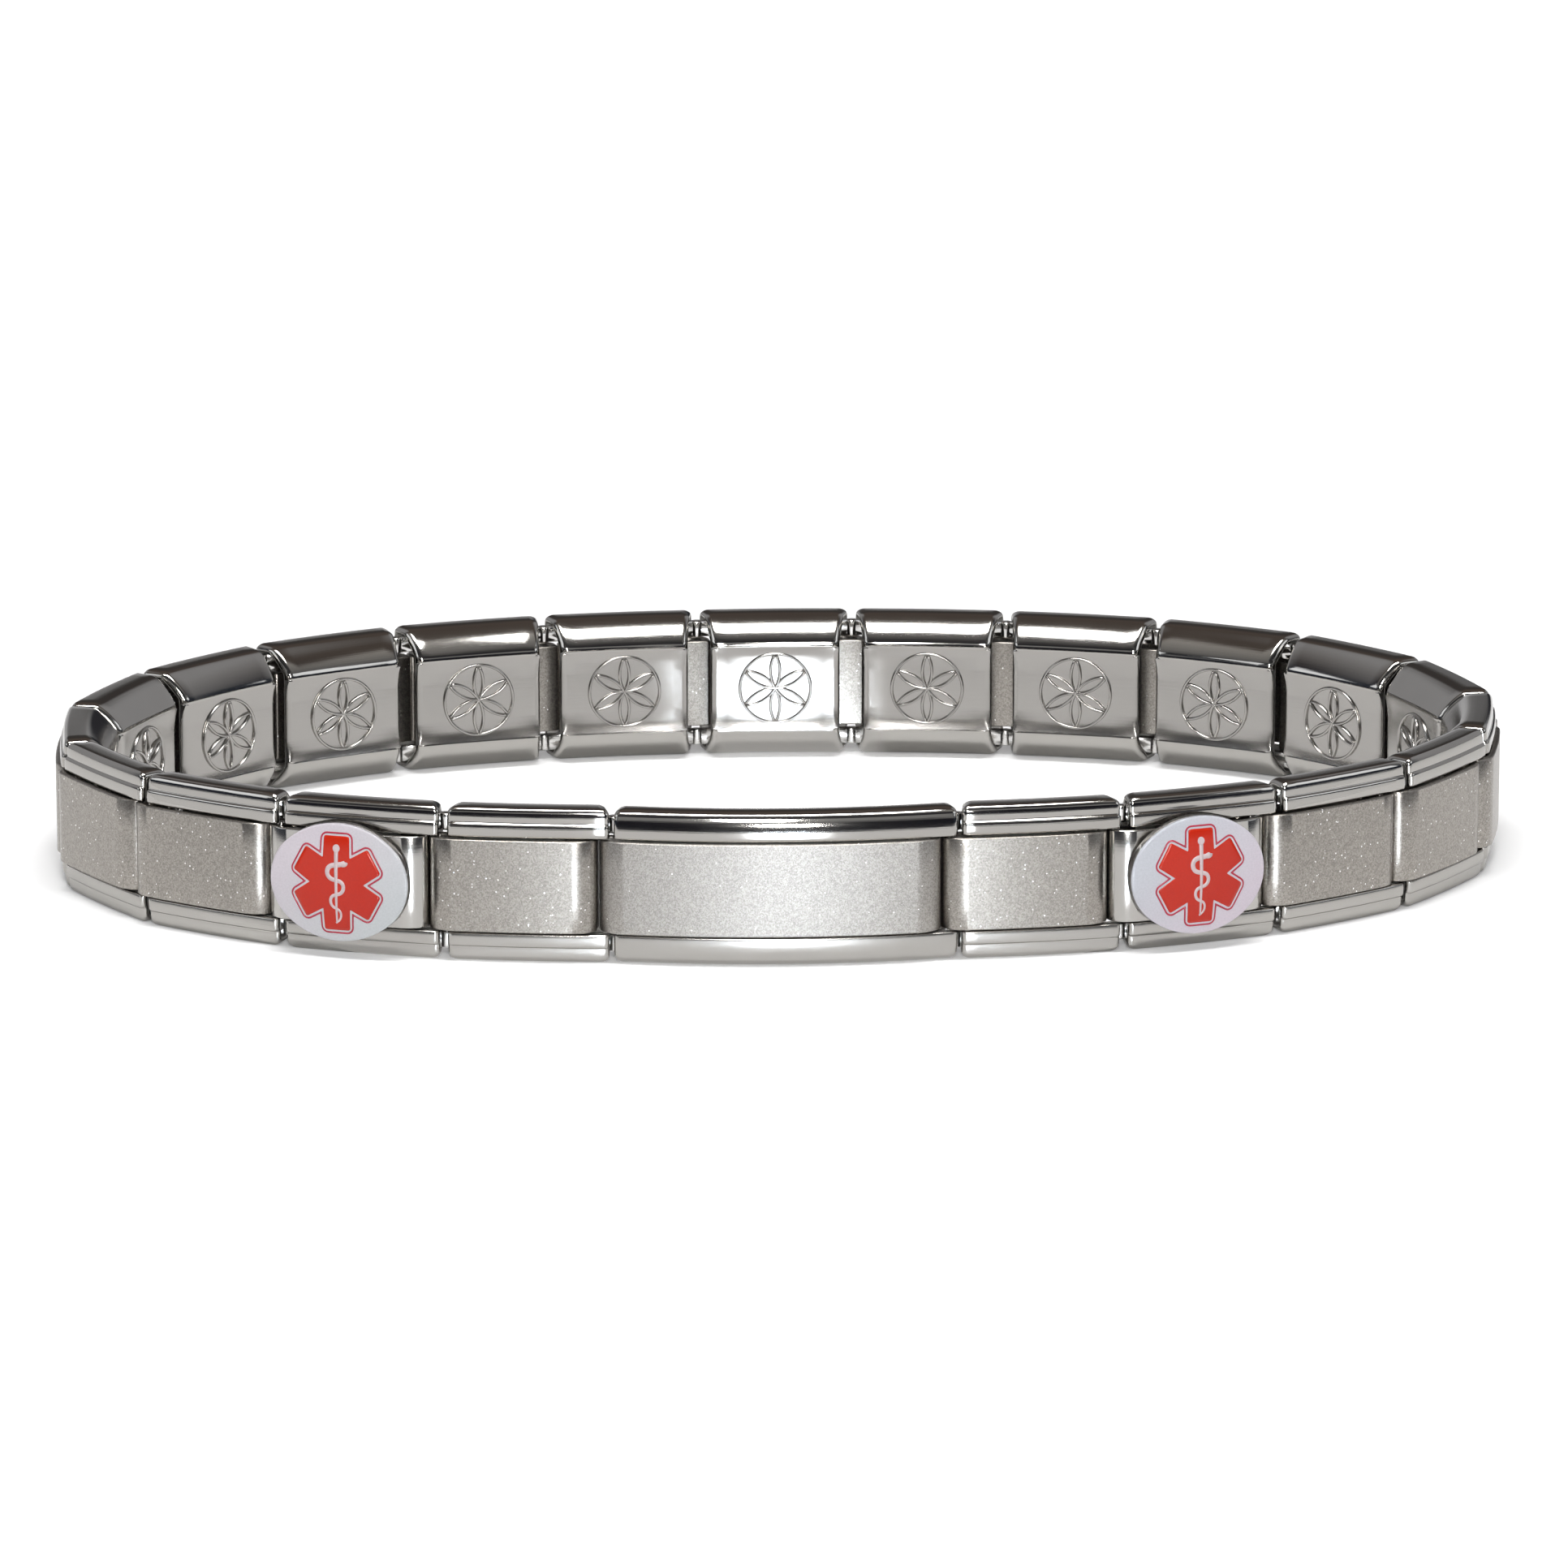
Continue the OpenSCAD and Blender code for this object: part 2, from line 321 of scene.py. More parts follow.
def stand_in(piece: bpy.types.Object, node: str) -> None:
    """Lets a piece ride on the bracelet and stand for its solid."""
    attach(piece, "root")
    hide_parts(node)
    LOG.info("%s: %d faces", piece.name, len(piece.data.polygons))


def rounded_path(first: Array, corners: Array, last: Array, reach: Array, steps: Array) -> Array:
    """Rounds the corners of an open path.

    Each corner with steps becomes a circular arc between the points A and B that lie at its reach
    from the corner P on either side. It is the rational curve ((1-t)^2 A + 2wt(1-t) P + t^2 B) over
    its own weights, where w is the cosine of half the corner's turn.

    Args:
        first, last: the path's ends, each as one row. They stay as they are.
        corners: the points between them, one row each.
        reach: how far each corner's rounding reaches. Two corners that are too close together share
            the way between them in proportion.
        steps: number of segments of each corner's rounding, 0 for a plain point.

    Returns:
        The rounded path's points.
    """
    points = np.concatenate([first, corners, last])
    before, after = points[:-2] - corners, points[2:] - corners
    size_before, size_after = np.hypot(*before.T), np.hypot(*after.T)
    padded = np.pad(reach, 1)
    shared = padded[:-1] + padded[1:] + TINY
    room = np.minimum(size_before * reach / shared[:-1], size_after * reach / shared[1:])
    limit = np.minimum(reach, room)
    start = corners + before * (limit / size_before)[:, None]
    end = corners + after * (limit / size_after)[:, None]
    turn_cos = -(before * after).sum(-1) / (size_before * size_after)
    weight = np.sqrt(np.clip((1 + turn_cos) / 2, 0, 1))
    path = [first]
    for a, p, b, w, n in zip(start, corners, end, weight, steps):
        t = np.linspace(0, 1, n + 1)[:, None]
        parts = (1 - t) ** 2, 2 * w * t * (1 - t), t**2
        path.append((parts[0] * a + parts[1] * p + parts[2] * b) / sum(parts) if n else p[None])
    return np.concatenate(path + [last])


@dataclass(frozen=True)
class Edge:
    """How the cut edge of a sheet is rounded: over what length on its two sides, and where they meet."""

    outer_r: float
    inner_r: float
    share: float
    steps: int = 4


@dataclass(frozen=True)
class Sheet:
    """Rings of a folded sheet, from one cut edge to the other.

    The two sides of the sheet's section are matched point for point. Between the edges a ring is
    the section itself. Over an edge's rounding, at the angle a from 0 to 90 degrees, each point
    moves towards its match by its share of (1 - cos a), and its place along the sheet stops short
    of the end by its radius times (1 - sin a), so that both sides meet in one line at the end.

    sections holds the section at each ring, span the share of the half length at which each ring
    lies, from -1 to 1, inset how far each of its points then lies back towards the middle, and run
    the distance along the section.
    """

    sections: Array
    span: Array
    inset: Array
    run: Array

    @classmethod
    def folded(cls, outer: Array, inner: Array, edge: Edge, spans: Array) -> Sheet:
        """Works out the rings.

        Args:
            outer: the outer side of the section, as (points, 2).
            inner: the inner side, matched to it.
            edge: the rounding of both cut edges.
            spans: places of the rings between the edges, from -1 to 1.

        Returns:
            The sheet's rings.
        """
        a = quarter(edge.steps + 1)[1:]
        lift = np.concatenate([(1 - np.cos(a))[::-1], np.zeros(len(spans)), 1 - np.cos(a)])
        back = np.concatenate([(1 - np.sin(a))[::-1], np.ones(len(spans)), 1 - np.sin(a)])
        span = np.concatenate([-np.ones(len(a)), spans, np.ones(len(a))])[:, None]
        move = (inner - outer)[None] * lift[:, None, None]
        sides = [outer[None] + move * edge.share, (inner[None] - move * (1 - edge.share))[:, ::-1]]
        radius = np.concatenate([np.full(len(outer), edge.outer_r), np.full(len(inner), edge.inner_r)])
        inset = np.sign(span) * (np.abs(span) > 1 - TINY) * back[:, None] * radius
        run = np.concatenate([run_length(outer), run_length(inner)[::-1]])
        return cls(np.concatenate(sides, axis=1), span, inset, run)


@dataclass(frozen=True)
class RailRow:
    """One corner of a frame's section: outer and inner side, as depth below the outer face and
    distance from the edge of the band, with the reach of each rounding and its segments."""

    depth: float
    edge: float
    reach: float
    inner_depth: float
    inner_edge: float
    inner_reach: float
    steps: int = 3


BACK = (
    RailRow(3.27, 1.60, 0.16, 2.72, 1.58, 0.10),
    RailRow(3.31, 1.84, 0.06, 2.75, 1.86, 0.05),
    RailRow(3.28, 1.94, 0.05, 2.75, 1.94, 0.05, 2),
    RailRow(3.18, 2.34, 0.40, 2.75, 2.34, 0.05, 4),
    RailRow(3.15, 3.00, 0.50, 2.75, 3.00, 0.05, 4),
)

SINGLE_RAIL = (
    RailRow(0.03, 1.70, 0.12, 0.56, 1.70, 0.05),
    RailRow(-0.01, 1.32, 0.30, 0.58, 1.40, 0.05),
    RailRow(0.05, 0.92, 0.10, 0.58, 1.10, 0.05),
    RailRow(0.19, 0.88, 0.05, 0.58, 1.00, 0.05, 2),
    RailRow(0.17, 0.58, 0.24, 0.58, 0.80, 0.05),
    RailRow(0.25, 0.17, 0.22, 0.58, 0.58, 0.05, 4),
    RailRow(0.46, 0.01, 0.14, 0.64, 0.42, 0.05, 4),
    RailRow(1.12, -0.005, 0.40, 1.10, 0.40, 0.05, 2),
    RailRow(1.72, 0.02, 0.28, 1.56, 0.42, 0.10),
    RailRow(2.71, 0.74, 1.00, 2.25, 1.10, 0.20, 10),
) + BACK

DOUBLE_RAIL = (
    RailRow(0.04, 1.70, 0.10, 0.42, 1.70, 0.05),
    RailRow(0.00, 1.34, 0.30, 0.42, 1.30, 0.05, 5),
    RailRow(0.09, 0.66, 0.34, 0.46, 0.80, 0.05, 6),
    RailRow(0.28, 0.21, 0.22, 0.50, 0.56, 0.05, 6),
    RailRow(0.60, 0.02, 0.22, 0.68, 0.42, 0.05, 5),
    RailRow(1.00, -0.005, 0.30, 1.00, 0.40, 0.05, 2),
    RailRow(1.54, 0.02, 0.28, 1.39, 0.42, 0.10),
    RailRow(2.62, 0.76, 1.00, 2.15, 1.12, 0.20, 10),
) + BACK


@dataclass
class Rosette:
    """Six-petal rosette in a ring, struck up from the middle of a frame's back."""

    band: Band
    petals: int = 6
    radius: float = 2.2
    line: float = 0.20
    height: float = 0.17
    ring_steps: int = 72
    arc_steps: int = 26
    round_steps: int = 8

    def ridge(self, link: Link, path: Array, back: float, closed: bool) -> Patch:
        """Carries a low oval along a flat path on the back.

        The oval's point at the angle a lies cos a times half the line's width to the side of the
        path and sin a times the height above the back, and an open ridge tapers at its ends.

        Args:
            link: the link that it lies on.
            path: points (n, 2) along and up the back, from its middle.
            back: depth of the back's face.
            closed: whether the path closes on itself.

        Returns:
            The ridge's closed surface.
        """
        a = full_turn(self.round_steps)
        share = np.linspace(0, 1, len(path))
        taper = np.ones(len(path)) if closed else np.clip(np.minimum(share, 1 - share) * len(path), 0, 1)
        side, up = taper[:, None] * self.line / 2 * np.cos(a), taper[:, None] * self.height * np.sin(a)
        flat = path[:, None] + normals(path, closed)[:, None] * side[..., None]
        face = link.bow_depth - np.sqrt((link.bow_r - back) ** 2 - flat[..., 0] ** 2)
        points = link.world(flat[..., 0], face + up, self.band.middle + flat[..., 1])
        return Patch(points, paired(run_length(path)[:, None], a * self.line), 1, closed)

    def patches(self, link: Link, back: float) -> list[Patch]:
        """The ring and its arcs, each centred on the ring and passing through its middle."""
        made = [self.ridge(link, self.radius * unit(full_turn(self.ring_steps)), back, True)]
        half = np.pi / 3
        for centre in full_turn(self.petals) + np.pi / self.petals:
            sweep = centre + np.pi + np.linspace(-half, half, self.arc_steps)
            made.append(self.ridge(link, self.radius * (unit(centre) + unit(sweep)), back, False))
        return made


@dataclass
class LinkFrame:
    """One folded sheet: a rail along each edge of the band, joined by the back."""

    band: Band
    polish: Material
    back_polish_and_shade: Material
    inside: Material
    edge: Edge = Edge(0.34, 0.10, 0.72, 5)
    corner: float = 0.20
    corner_reach: float = 0.34
    columns: int = 12
    back_depth: float = 3.15
    lip: float = 1.92
    lip_depth: float = 3.28
    pillow: float = 1.7
    uv_shift: float = 20.0

    def mirrored(self, side: Array) -> Array:
        """The upper rail's points: the lower one's, mirrored about the band's middle line."""
        return np.array([0.0, self.band.height]) + np.array([1.0, -1.0]) * side[::-1]

    def section(self, rows: tuple[RailRow, ...]) -> tuple[Array, Array]:
        """Outer and inner side of the sheet from slot to slot, from the rows of its lower rail."""
        outer = np.array([[r.depth, r.edge] for r in rows])
        inner = np.array([[r.inner_depth, r.inner_edge] for r in rows])
        tip = (outer[:1] + inner[:1]) / 2
        steps = [r.steps for r in rows]
        both = []
        for side, reach in ((outer, [r.reach for r in rows]), (inner, [r.inner_reach for r in rows])):
            corners = np.concatenate([side, self.mirrored(side)])
            radii = np.array(reach + reach[::-1])
            both.append(rounded_path(tip, corners, self.mirrored(tip), radii, steps + steps[::-1]))
        return both[0], both[1]

    def patch(self, link: Link) -> Patch:
        """Carries the section along the bow, from one leaning end to the other.

        A ring's point at the depth d lies at half(d) times the ring's share, where half(d) is half
        of the link's length less the gap, less the tangent of the lean times the depth below the
        chord. Its y follows the circle of the bow, of the radius less d, about the bow's centre.

        Towards the edges of the band the ends draw back, by the corner's size times the square of
        (1 - distance from the edge / the corner's reach). The back is dished: towards its corners it
        rises to the lips, by the fourth power of the ring's share times the square of
        (1 - distance from the lip / the pillow's reach).
        """
        band = self.band
        outer, inner = self.section(SINGLE_RAIL if link.single else DOUBLE_RAIL)
        on_back = np.abs(outer[:, 1] - band.middle) < band.middle - self.lip
        columns = self.columns if link.single else 2 * self.columns
        sheet = Sheet.folded(outer, inner, self.edge, np.linspace(-1, 1, columns + 1))
        depth, height = sheet.sections[..., 0], sheet.sections[..., 1]
        on_outside = np.concatenate([on_back, np.zeros(len(inner), bool)])
        from_edge = np.minimum(height, band.height - height)
        near_lip = np.clip(1 - (from_edge - self.lip) / self.pillow, 0, 1) ** 2 * on_outside
        depth = depth + np.maximum(self.lip_depth - depth, 0) * near_lip * np.abs(sheet.span) ** 4
        half = (link.length - band.outer_gap) / 2 - math.tan(band.end_lean) * (depth - link.crown)
        half -= self.corner * np.clip(1 - from_edge / self.corner_reach, 0, 1) ** 2
        at_end = np.abs(sheet.span) > 1 - TINY
        ends = np.sign(sheet.span) * half - sheet.inset
        x = np.where(at_end, ends, sheet.span * (half - self.edge.outer_r))
        y = link.bow_depth - np.sqrt((link.bow_r - depth) ** 2 - x**2)
        kinds = np.concatenate([on_back.astype(int), np.full(len(inner), 2)])
        uv = paired(x + self.uv_shift * link.number, sheet.run)
        return Patch(link.world(x, y, height), uv, kinds[None])

    def build(self, link: Link) -> None:
        """Makes a frame: polished rails, a duller back with its rosette, whose darker colour is painted
        shade, and a satin inside.
        """
        patches = [self.patch(link)]
        if link.single:
            patches += Rosette(self.band).patches(link, self.back_depth)
        name = f"frame_{link.number:02d}" + ("" if link.single else "_double")
        piece = make_piece(f"link_{name}", patches, [self.polish, self.back_polish_and_shade, self.inside])
        stand_in(piece, name)


@dataclass
class FrontPlate:
    """A thin bowed plate in the slot of a frame, with its ends bent in and folded back behind it.

    hook and fold are the folds' depth and length, and bend_w and bend_d the bent ends' size.
    """

    band: Band
    thickness: float = 0.45
    proud: float = 0.25
    gap: float = 0.2
    shift: float = 0.9
    hook: float = 1.8
    fold: float = 1.9
    bend_w: float = 1.4
    bend_d: float = 0.95
    fold_r: float = 0.22
    tip_r: float = 0.1
    bottom: float = 1.78
    edge: Edge = Edge(0.10, 0.10, 0.5, 4)
    tip_steps: int = 3
    fold_steps: int = 6
    bend_steps: int = 17
    face_steps: tuple[int, int] = (7, 19)
    rings: int = 4
    uv_shift: float = 30.0

    def half(self, link: Link) -> float:
        """Half of the plate's length."""
        return (link.length - self.gap) / 2

    def turned(self, link: Link, x: Array, y: Array, z: Array) -> Array:
        """Places points of the plate: they turn about the bow's centre by the plate's shift."""
        cos, sin = unit(-math.asin(self.shift / link.bow_r))
        y0 = y - link.bow_depth
        return link.world(x * cos - y0 * sin, x * sin + y0 * cos + link.bow_depth, z)

    def face_y(self, link: Link, x: Array) -> Array:
        """The face's y at x: it lies on a circle about the bow's centre, proud of the rails."""
        return link.bow_depth - np.sqrt((link.bow_r + self.proud) ** 2 - x**2)

    def section(self, link: Link) -> tuple[Array, Array]:
        """Outer and inner side of the plate in plan, as x and depth below the face.

        Each runs along a fold, round a bent end, along the face and back the same way. A bent end
        is a quarter of an ellipse, longer along the face than it is deep.
        """
        w = self.half(link)
        start, tip = w - self.bend_w, w - self.fold
        a = quarter(self.bend_steps)[::-1]
        face = np.linspace(start, -start, self.face_steps[0 if link.single else 1] + 2)[1:-1]
        first = np.array([[tip, self.hook - self.thickness / 2]])
        mirror = np.array([-1.0, 1.0])
        both = []
        for deep, fold_r in ((0.0, self.fold_r), (self.thickness, self.tip_r)):
            fold = [[tip, self.hook - deep], [w - deep, self.hook - deep]]
            along = start + (self.bend_w - deep) * np.sin(a)
            bend = paired(along, deep + (self.bend_d - deep) * (1 - np.cos(a)))
            half = np.concatenate([fold, bend])
            side = np.concatenate([half, paired(face, deep), mirror * half[::-1]])
            plain = np.zeros(len(side) - 4, int)
            reach = np.concatenate([[self.tip_r, fold_r], plain, [fold_r, self.tip_r]])
            steps = [self.tip_steps, self.fold_steps, *plain, self.fold_steps, self.tip_steps]
            both.append(rounded_path(first, side, mirror * first, reach, steps))
        return both[0], both[1]

    def patch(self, link: Link) -> Patch:
        """Carries the section up in z and adds the face's own bow to y, flattened behind the face."""
        sheet = Sheet.folded(*self.section(link), self.edge, np.linspace(-1, 1, self.rings))
        x, depth = sheet.sections[..., 0], sheet.sections[..., 1]
        middle = self.band.middle
        z = middle + sheet.span * (middle - self.bottom) - sheet.inset
        uv = paired(sheet.run + self.uv_shift * link.number, z)
        flat_share = np.clip((depth - self.thickness) / self.thickness, 0, 1)
        y = self.face_y(link, x + (np.sign(x) * self.half(link) - x) * flat_share) + depth
        return Patch(self.turned(link, x, y, z), uv)

    def build(self, link: Link, finish: Material) -> None:
        """Makes a plain plate, or the identity plate of the double link."""
        name = link.kind.value + (f"_{link.number:02d}" if link.single else "")
        piece = make_piece(f"sheet_{name}", [self.patch(link)], [finish])
        stand_in(piece, name)


@dataclass(frozen=True)
class Emblem:
    """The printed medical star, in millimetres from the middle of the badge's face.

    line holds the crimson line's distances from the star, and staff the staff's top and foot.
    """

    arms: int = 6
    arm_half: float = 0.86
    arm: float = 2.76
    taper: float = 0.05
    squeeze: float = 0.94
    corner: float = 0.12
    notch: float = 0.03
    corner_steps: int = 4
    line: Range = (0.115, 0.215)
    line_corners: Range = (0.30, 0.38)
    star_points: int = 320
    staff: Range = (2.05, -2.30)
    staff_widths: Range = (0.25, 0.10)
    staff_points: int = 60
    knob: Range = (0.21, 0.23)
    knob_points: int = 24
    snake_top: float = 1.60
    snake_length: float = 3.97
    snake_turns: float = 2.3
    snake_power: float = 0.93
    snake_swing: Range = (0.62, 0.20)
    snake_sway: Range = (0.12, 0.05)
    snake_width: Range = (0.31, 0.10)
    snake_points: int = 150
    head_width: Range = (0.15, 0.20)
    head_points: int = 12
    head_level: float = 1.14
    head_flat: float = 0.7

    def star(self, grow: float, corner: float) -> Array:
        """Outline of the star, its sides moved outwards by a distance.

        The first of its six arms points up, and each narrows a little. Its two outer corners lie at
        the arm's length, and the corner between two arms lies midway, at twice the half width.

        Args:
            grow: the distance, in millimetres.
            corner: the reach of the rounding of the outer corners.

        Returns:
            Points at even distances along the outline.
        """
        half = self.arm_half + grow
        points = []
        for a in full_turn(self.arms) + np.pi / 2:
            tip, side = unit(a) * (self.arm + grow), left_of(unit(a)) * (half - self.taper)
            points += [2 * half * unit(a - np.pi / self.arms), tip - side, tip + side]
        loop = np.array(points) * [self.squeeze, 1.0]
        start = (loop[-1:] + loop[:1]) / 2
        reach = np.tile([self.notch, corner, corner], self.arms)
        path = rounded_path(start, loop, start, reach, [self.corner_steps] * len(loop))
        run = run_length(path)
        even = np.linspace(0, run[-1], self.star_points, endpoint=False)
        return paired(*(np.interp(even, run, path[:, k]) for k in range(2)))

    def stroke(self, path: Array, width: Array) -> tuple[Array, Array]:
        """The two sides of a brush stroke: half its width to either side of its path."""
        side = normals(path) * width[:, None] / 2
        return path - side, path + side

    def snake(self) -> tuple[Array, Array]:
        """The two sides of the snake that winds round the staff.

        It swings from side to side as the cosine of an angle, while it sinks along the staff by a
        power of the share of its length, and by the sine of twice the angle, which rounds its loops.
        They grow smaller towards its tail, and its head is held nearly level. The head's width
        swells as the sine of an angle, up to 0.8 of half a turn.
        """
        s = np.linspace(0, 1, self.snake_points)
        swing, sway, width = (
            np.linspace(*ends, self.snake_points)
            for ends in (self.snake_swing, self.snake_sway, self.snake_width)
        )
        angle = 2 * np.pi * self.snake_turns * s
        height = self.snake_top - (self.snake_length * s**self.snake_power + sway * np.sin(2 * angle))
        height -= self.head_flat * np.maximum(height - self.head_level, 0)
        neck, swell = self.head_width
        width[:self.head_points] = neck + swell * np.sin(np.linspace(0, 0.8 * np.pi, self.head_points))
        return self.stroke(paired(swing * np.cos(angle), height), width)

    def rod(self) -> tuple[Array, Array]:
        """The two sides of the staff."""
        path = paired(0.0, np.linspace(*self.staff, self.staff_points))
        return self.stroke(path, np.linspace(*self.staff_widths, self.staff_points))


@dataclass
class Badge:
    """A badge plate: the plate, a short neck and an oval cup, with a white domed face in the cup."""

    plate: FrontPlate
    metal: Material
    edge_metal: Material
    enamels: dict[int, Material]
    print_colours: list[Material]
    emblem: Emblem = Emblem()
    width: float = 8.3
    height: float = 6.9
    end_r: float = 3.0
    lift: float = 0.15
    cup: float = 0.45
    pocket: float = 0.25
    wall: float = 0.2
    soft: float = 0.07
    soft_cut: float = 0.3
    flat_inset: float = 0.6
    fit: float = 0.04
    dome_r: float = 20.0
    dome: float = 0.6
    dome_rings: int = 14
    dome_reach: float = 0.88
    shoulder: float = 0.26
    roll: float = 0.12
    roll_fall: float = 0.084
    roll_steps: int = 6
    lid: float = 0.01
    neck_w: float = 5.4
    neck_h: float = 4.4
    neck_top: float = 0.1
    sides: int = 96
    fill: float = 0.06
    fill_rings: int = 16
    star_lift: float = 0.010
    snake_lift: float = 0.018
    staff_lift: float = 0.024
    knob_lift: float = 0.028
    sunk: float = -0.02

    def oval(self, width: float, height: float, end_r: float) -> Array:
        """Outline of four arcs, by the angle of its normal.

        Near the ends the point is the tight arc's centre plus its radius along the normal, and
        above and below it is the flat arc's centre plus that arc's radius.
        """
        end_x, rise = width / 2 - end_r, height / 2 - end_r
        drop = (end_x**2 - rise**2) / (2 * rise)
        normal = unit(full_turn(self.sides))
        cos, sin = normal.T
        tight = np.abs(sin) * end_x < np.abs(cos) * drop
        radius = np.where(tight, end_r, height / 2 + drop)
        centre = np.where(tight, np.sign(cos) * end_x, 0.0), np.where(tight, 0.0, -np.sign(sin) * drop)
        return paired(*centre) + radius[:, None] * normal

    def upright(self, link: Link, flat: Array, rise: Array) -> Array:
        """Stands flat points up on the plate's crown, at their height above the plate's face."""
        top = link.bow_depth - link.bow_r - self.plate.proud
        return self.plate.turned(link, flat[..., 0], top - rise, self.plate.band.middle + flat[..., 1])

    def rings(self, outline: Array, profile: Array) -> tuple[Array, Array]:
        """Carries a profile of (share of the outline, inset, height) round an outline.

        A point is the outline's point scaled by the share, less the inset towards the middle.
        Returned are the flat points and their heights.
        """
        share, inset, rise = (profile[:, k][:, None] for k in range(3))
        flat = outline * (share * (1 - inset / np.hypot(*outline.T)))[..., None]
        return flat, np.broadcast_to(rise, flat.shape[:2])

    def turned_form(self, link: Link, outline: Array, profile: list[tuple[float, float, float]]) -> Patch:
        """A form of the rough-edged metal, with its profile carried round an outline."""
        flat, rise = self.rings(outline, np.array(profile))
        shift = self.plate.uv_shift * link.number
        return Patch(self.upright(link, flat, rise), paired(flat[..., 0] + shift, flat[..., 1] + rise), 1)

    def dome_rise(self, flat: Array) -> Array:
        """Height of the domed face above the plate: a sphere's cap."""
        top = self.lift + self.cup + self.dome
        return top - self.dome_r + np.sqrt(self.dome_r**2 - (flat**2).sum(-1))

    def face_patch(self, link: Link) -> Patch:
        """The face: it follows the dome, rolls over at the cup's outline, hides the cup's rim and
        goes down inside the cup to its seat.

        Each row of the profile is a share of the outline, an inset from it, and either a height or,
        in the first two parts, a fall below the dome.
        """
        rim = self.wall + self.fit
        under = self.lift + self.cup + self.fit
        seat = under - self.pocket
        dome = [(share, 0.0, 0.0) for share in np.linspace(0, self.dome_reach, self.dome_rings)]
        dome += [(1.0, self.shoulder, 0.0)]
        turns = unit(quarter(self.roll_steps))
        over = [(1.0, self.roll * (1 - sin), self.roll_fall * (1 - cos)) for cos, sin in turns]
        below = [(1.0, 0.0, under), (1.0, rim, under), (1.0, rim, seat), (0.5, 0.0, seat), (0.0, 0.0, seat)]
        outline = self.oval(self.width, self.height, self.end_r)
        flat, rise = self.rings(outline, np.array(dome + over + below))
        top = len(dome) + len(over)
        rise = rise.copy()
        rise[:top] = np.maximum(self.dome_rise(flat[:top]) - rise[:top], under + self.lid)
        return Patch(self.upright(link, flat, rise), flat)

    def cup_profile(self) -> list[tuple[float, float, float]]:
        """Profile of the cup, from the middle of its underside to the middle of its floor."""
        low, high = self.lift, self.lift + self.cup
        floor, soft, cut = high - self.pocket, self.soft, self.soft_cut * self.soft
        return [
            (0, 0, low), (0.5, 0, low), (1, self.flat_inset, low), (1, soft, low), (1, cut, low + cut),
            (1, 0, low + soft), (1, 0, high - soft), (1, cut, high - cut), (1, soft, high),
            (1, self.wall, high), (1, self.wall, floor), (0.5, 0, floor), (0, 0, floor),
        ]

    def printed(self, link: Link, flat: Array, heights: Array, material: int, **closed: bool) -> Patch:
        """Lays rows of flat points over the dome, each row at its height above it."""
        rise = self.dome_rise(flat) + heights[:, None]
        return Patch(self.upright(link, flat, rise), flat, material, **closed)

    def print_disc(self, link: Link, outline: Array, lift: float, material: int,
                   middle: Range = (0.0, 0.0)) -> Patch:
        """A filled shape: rings from its middle to its outline and back below."""
        share = np.concatenate([[0], np.linspace(self.fill, 1, self.fill_rings), [1, 0]])
        heights = np.concatenate([np.full(self.fill_rings + 1, lift), np.full(2, self.sunk)])
        return self.printed(link, np.array(middle) + outline * share[:, None, None], heights, material)

    def print_band(self, link: Link, sides: tuple[Array, Array], lift: float, material: int,
                   closed: bool = False) -> Patch:
        """A band between two matched lines: its top, and its underside just below the dome."""
        near, far = sides
        heights = np.array([lift, lift, self.sunk, self.sunk])
        rows = np.stack([near, far, far, near])
        return self.printed(link, rows, heights, material, close_rows=True, close_columns=closed)

    def print_patches(self, link: Link) -> list[Patch]:
        """The medical star: red star, crimson outline, and a white staff with a winding snake."""
        star = self.emblem
        red, crimson, white = range(3)
        outline = tuple(star.star(*pair) for pair in zip(star.line, star.line_corners))
        knob = unit(full_turn(star.knob_points)) * star.knob
        return [
            self.print_band(link, outline, self.star_lift, crimson, closed=True),
            self.print_disc(link, star.star(0.0, star.corner), self.star_lift, red),
            self.print_band(link, star.snake(), self.snake_lift, white),
            self.print_band(link, star.rod(), self.staff_lift, white),
            self.print_disc(link, knob, self.knob_lift, white, (0.0, star.staff[0])),
        ]

    def build(self, link: Link) -> None:
        """Makes the badge plate with its cup, the face, and the print on it."""
        cup_outline = self.oval(self.width, self.height, self.end_r)
        neck_outline = self.oval(self.neck_w, self.neck_h, self.end_r * self.neck_h / self.height)
        inside, top = -self.plate.thickness / 2, self.lift + self.neck_top
        neck = [(0, 0, inside), (1, 0, inside), (1, 0, top), (0, 0, top)]
        patches = [
            self.plate.patch(link),
            self.turned_form(link, cup_outline, self.cup_profile()),
            self.turned_form(link, neck_outline, neck),
        ]
        number = f"{link.number:02d}"
        name = f"{link.kind.value}_{number}"
        plate = make_piece(f"sheet_{name}", patches, [self.metal, self.edge_metal])
        stand_in(plate, name)
        face = make_piece(f"dome_badge_face_{number}", [self.face_patch(link)], [self.enamels[link.number]])
        stand_in(face, f"badge_face_{number}")
        emblem = make_piece(f"print_badge_{number}", self.print_patches(link), self.print_colours)
        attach(emblem, "root")


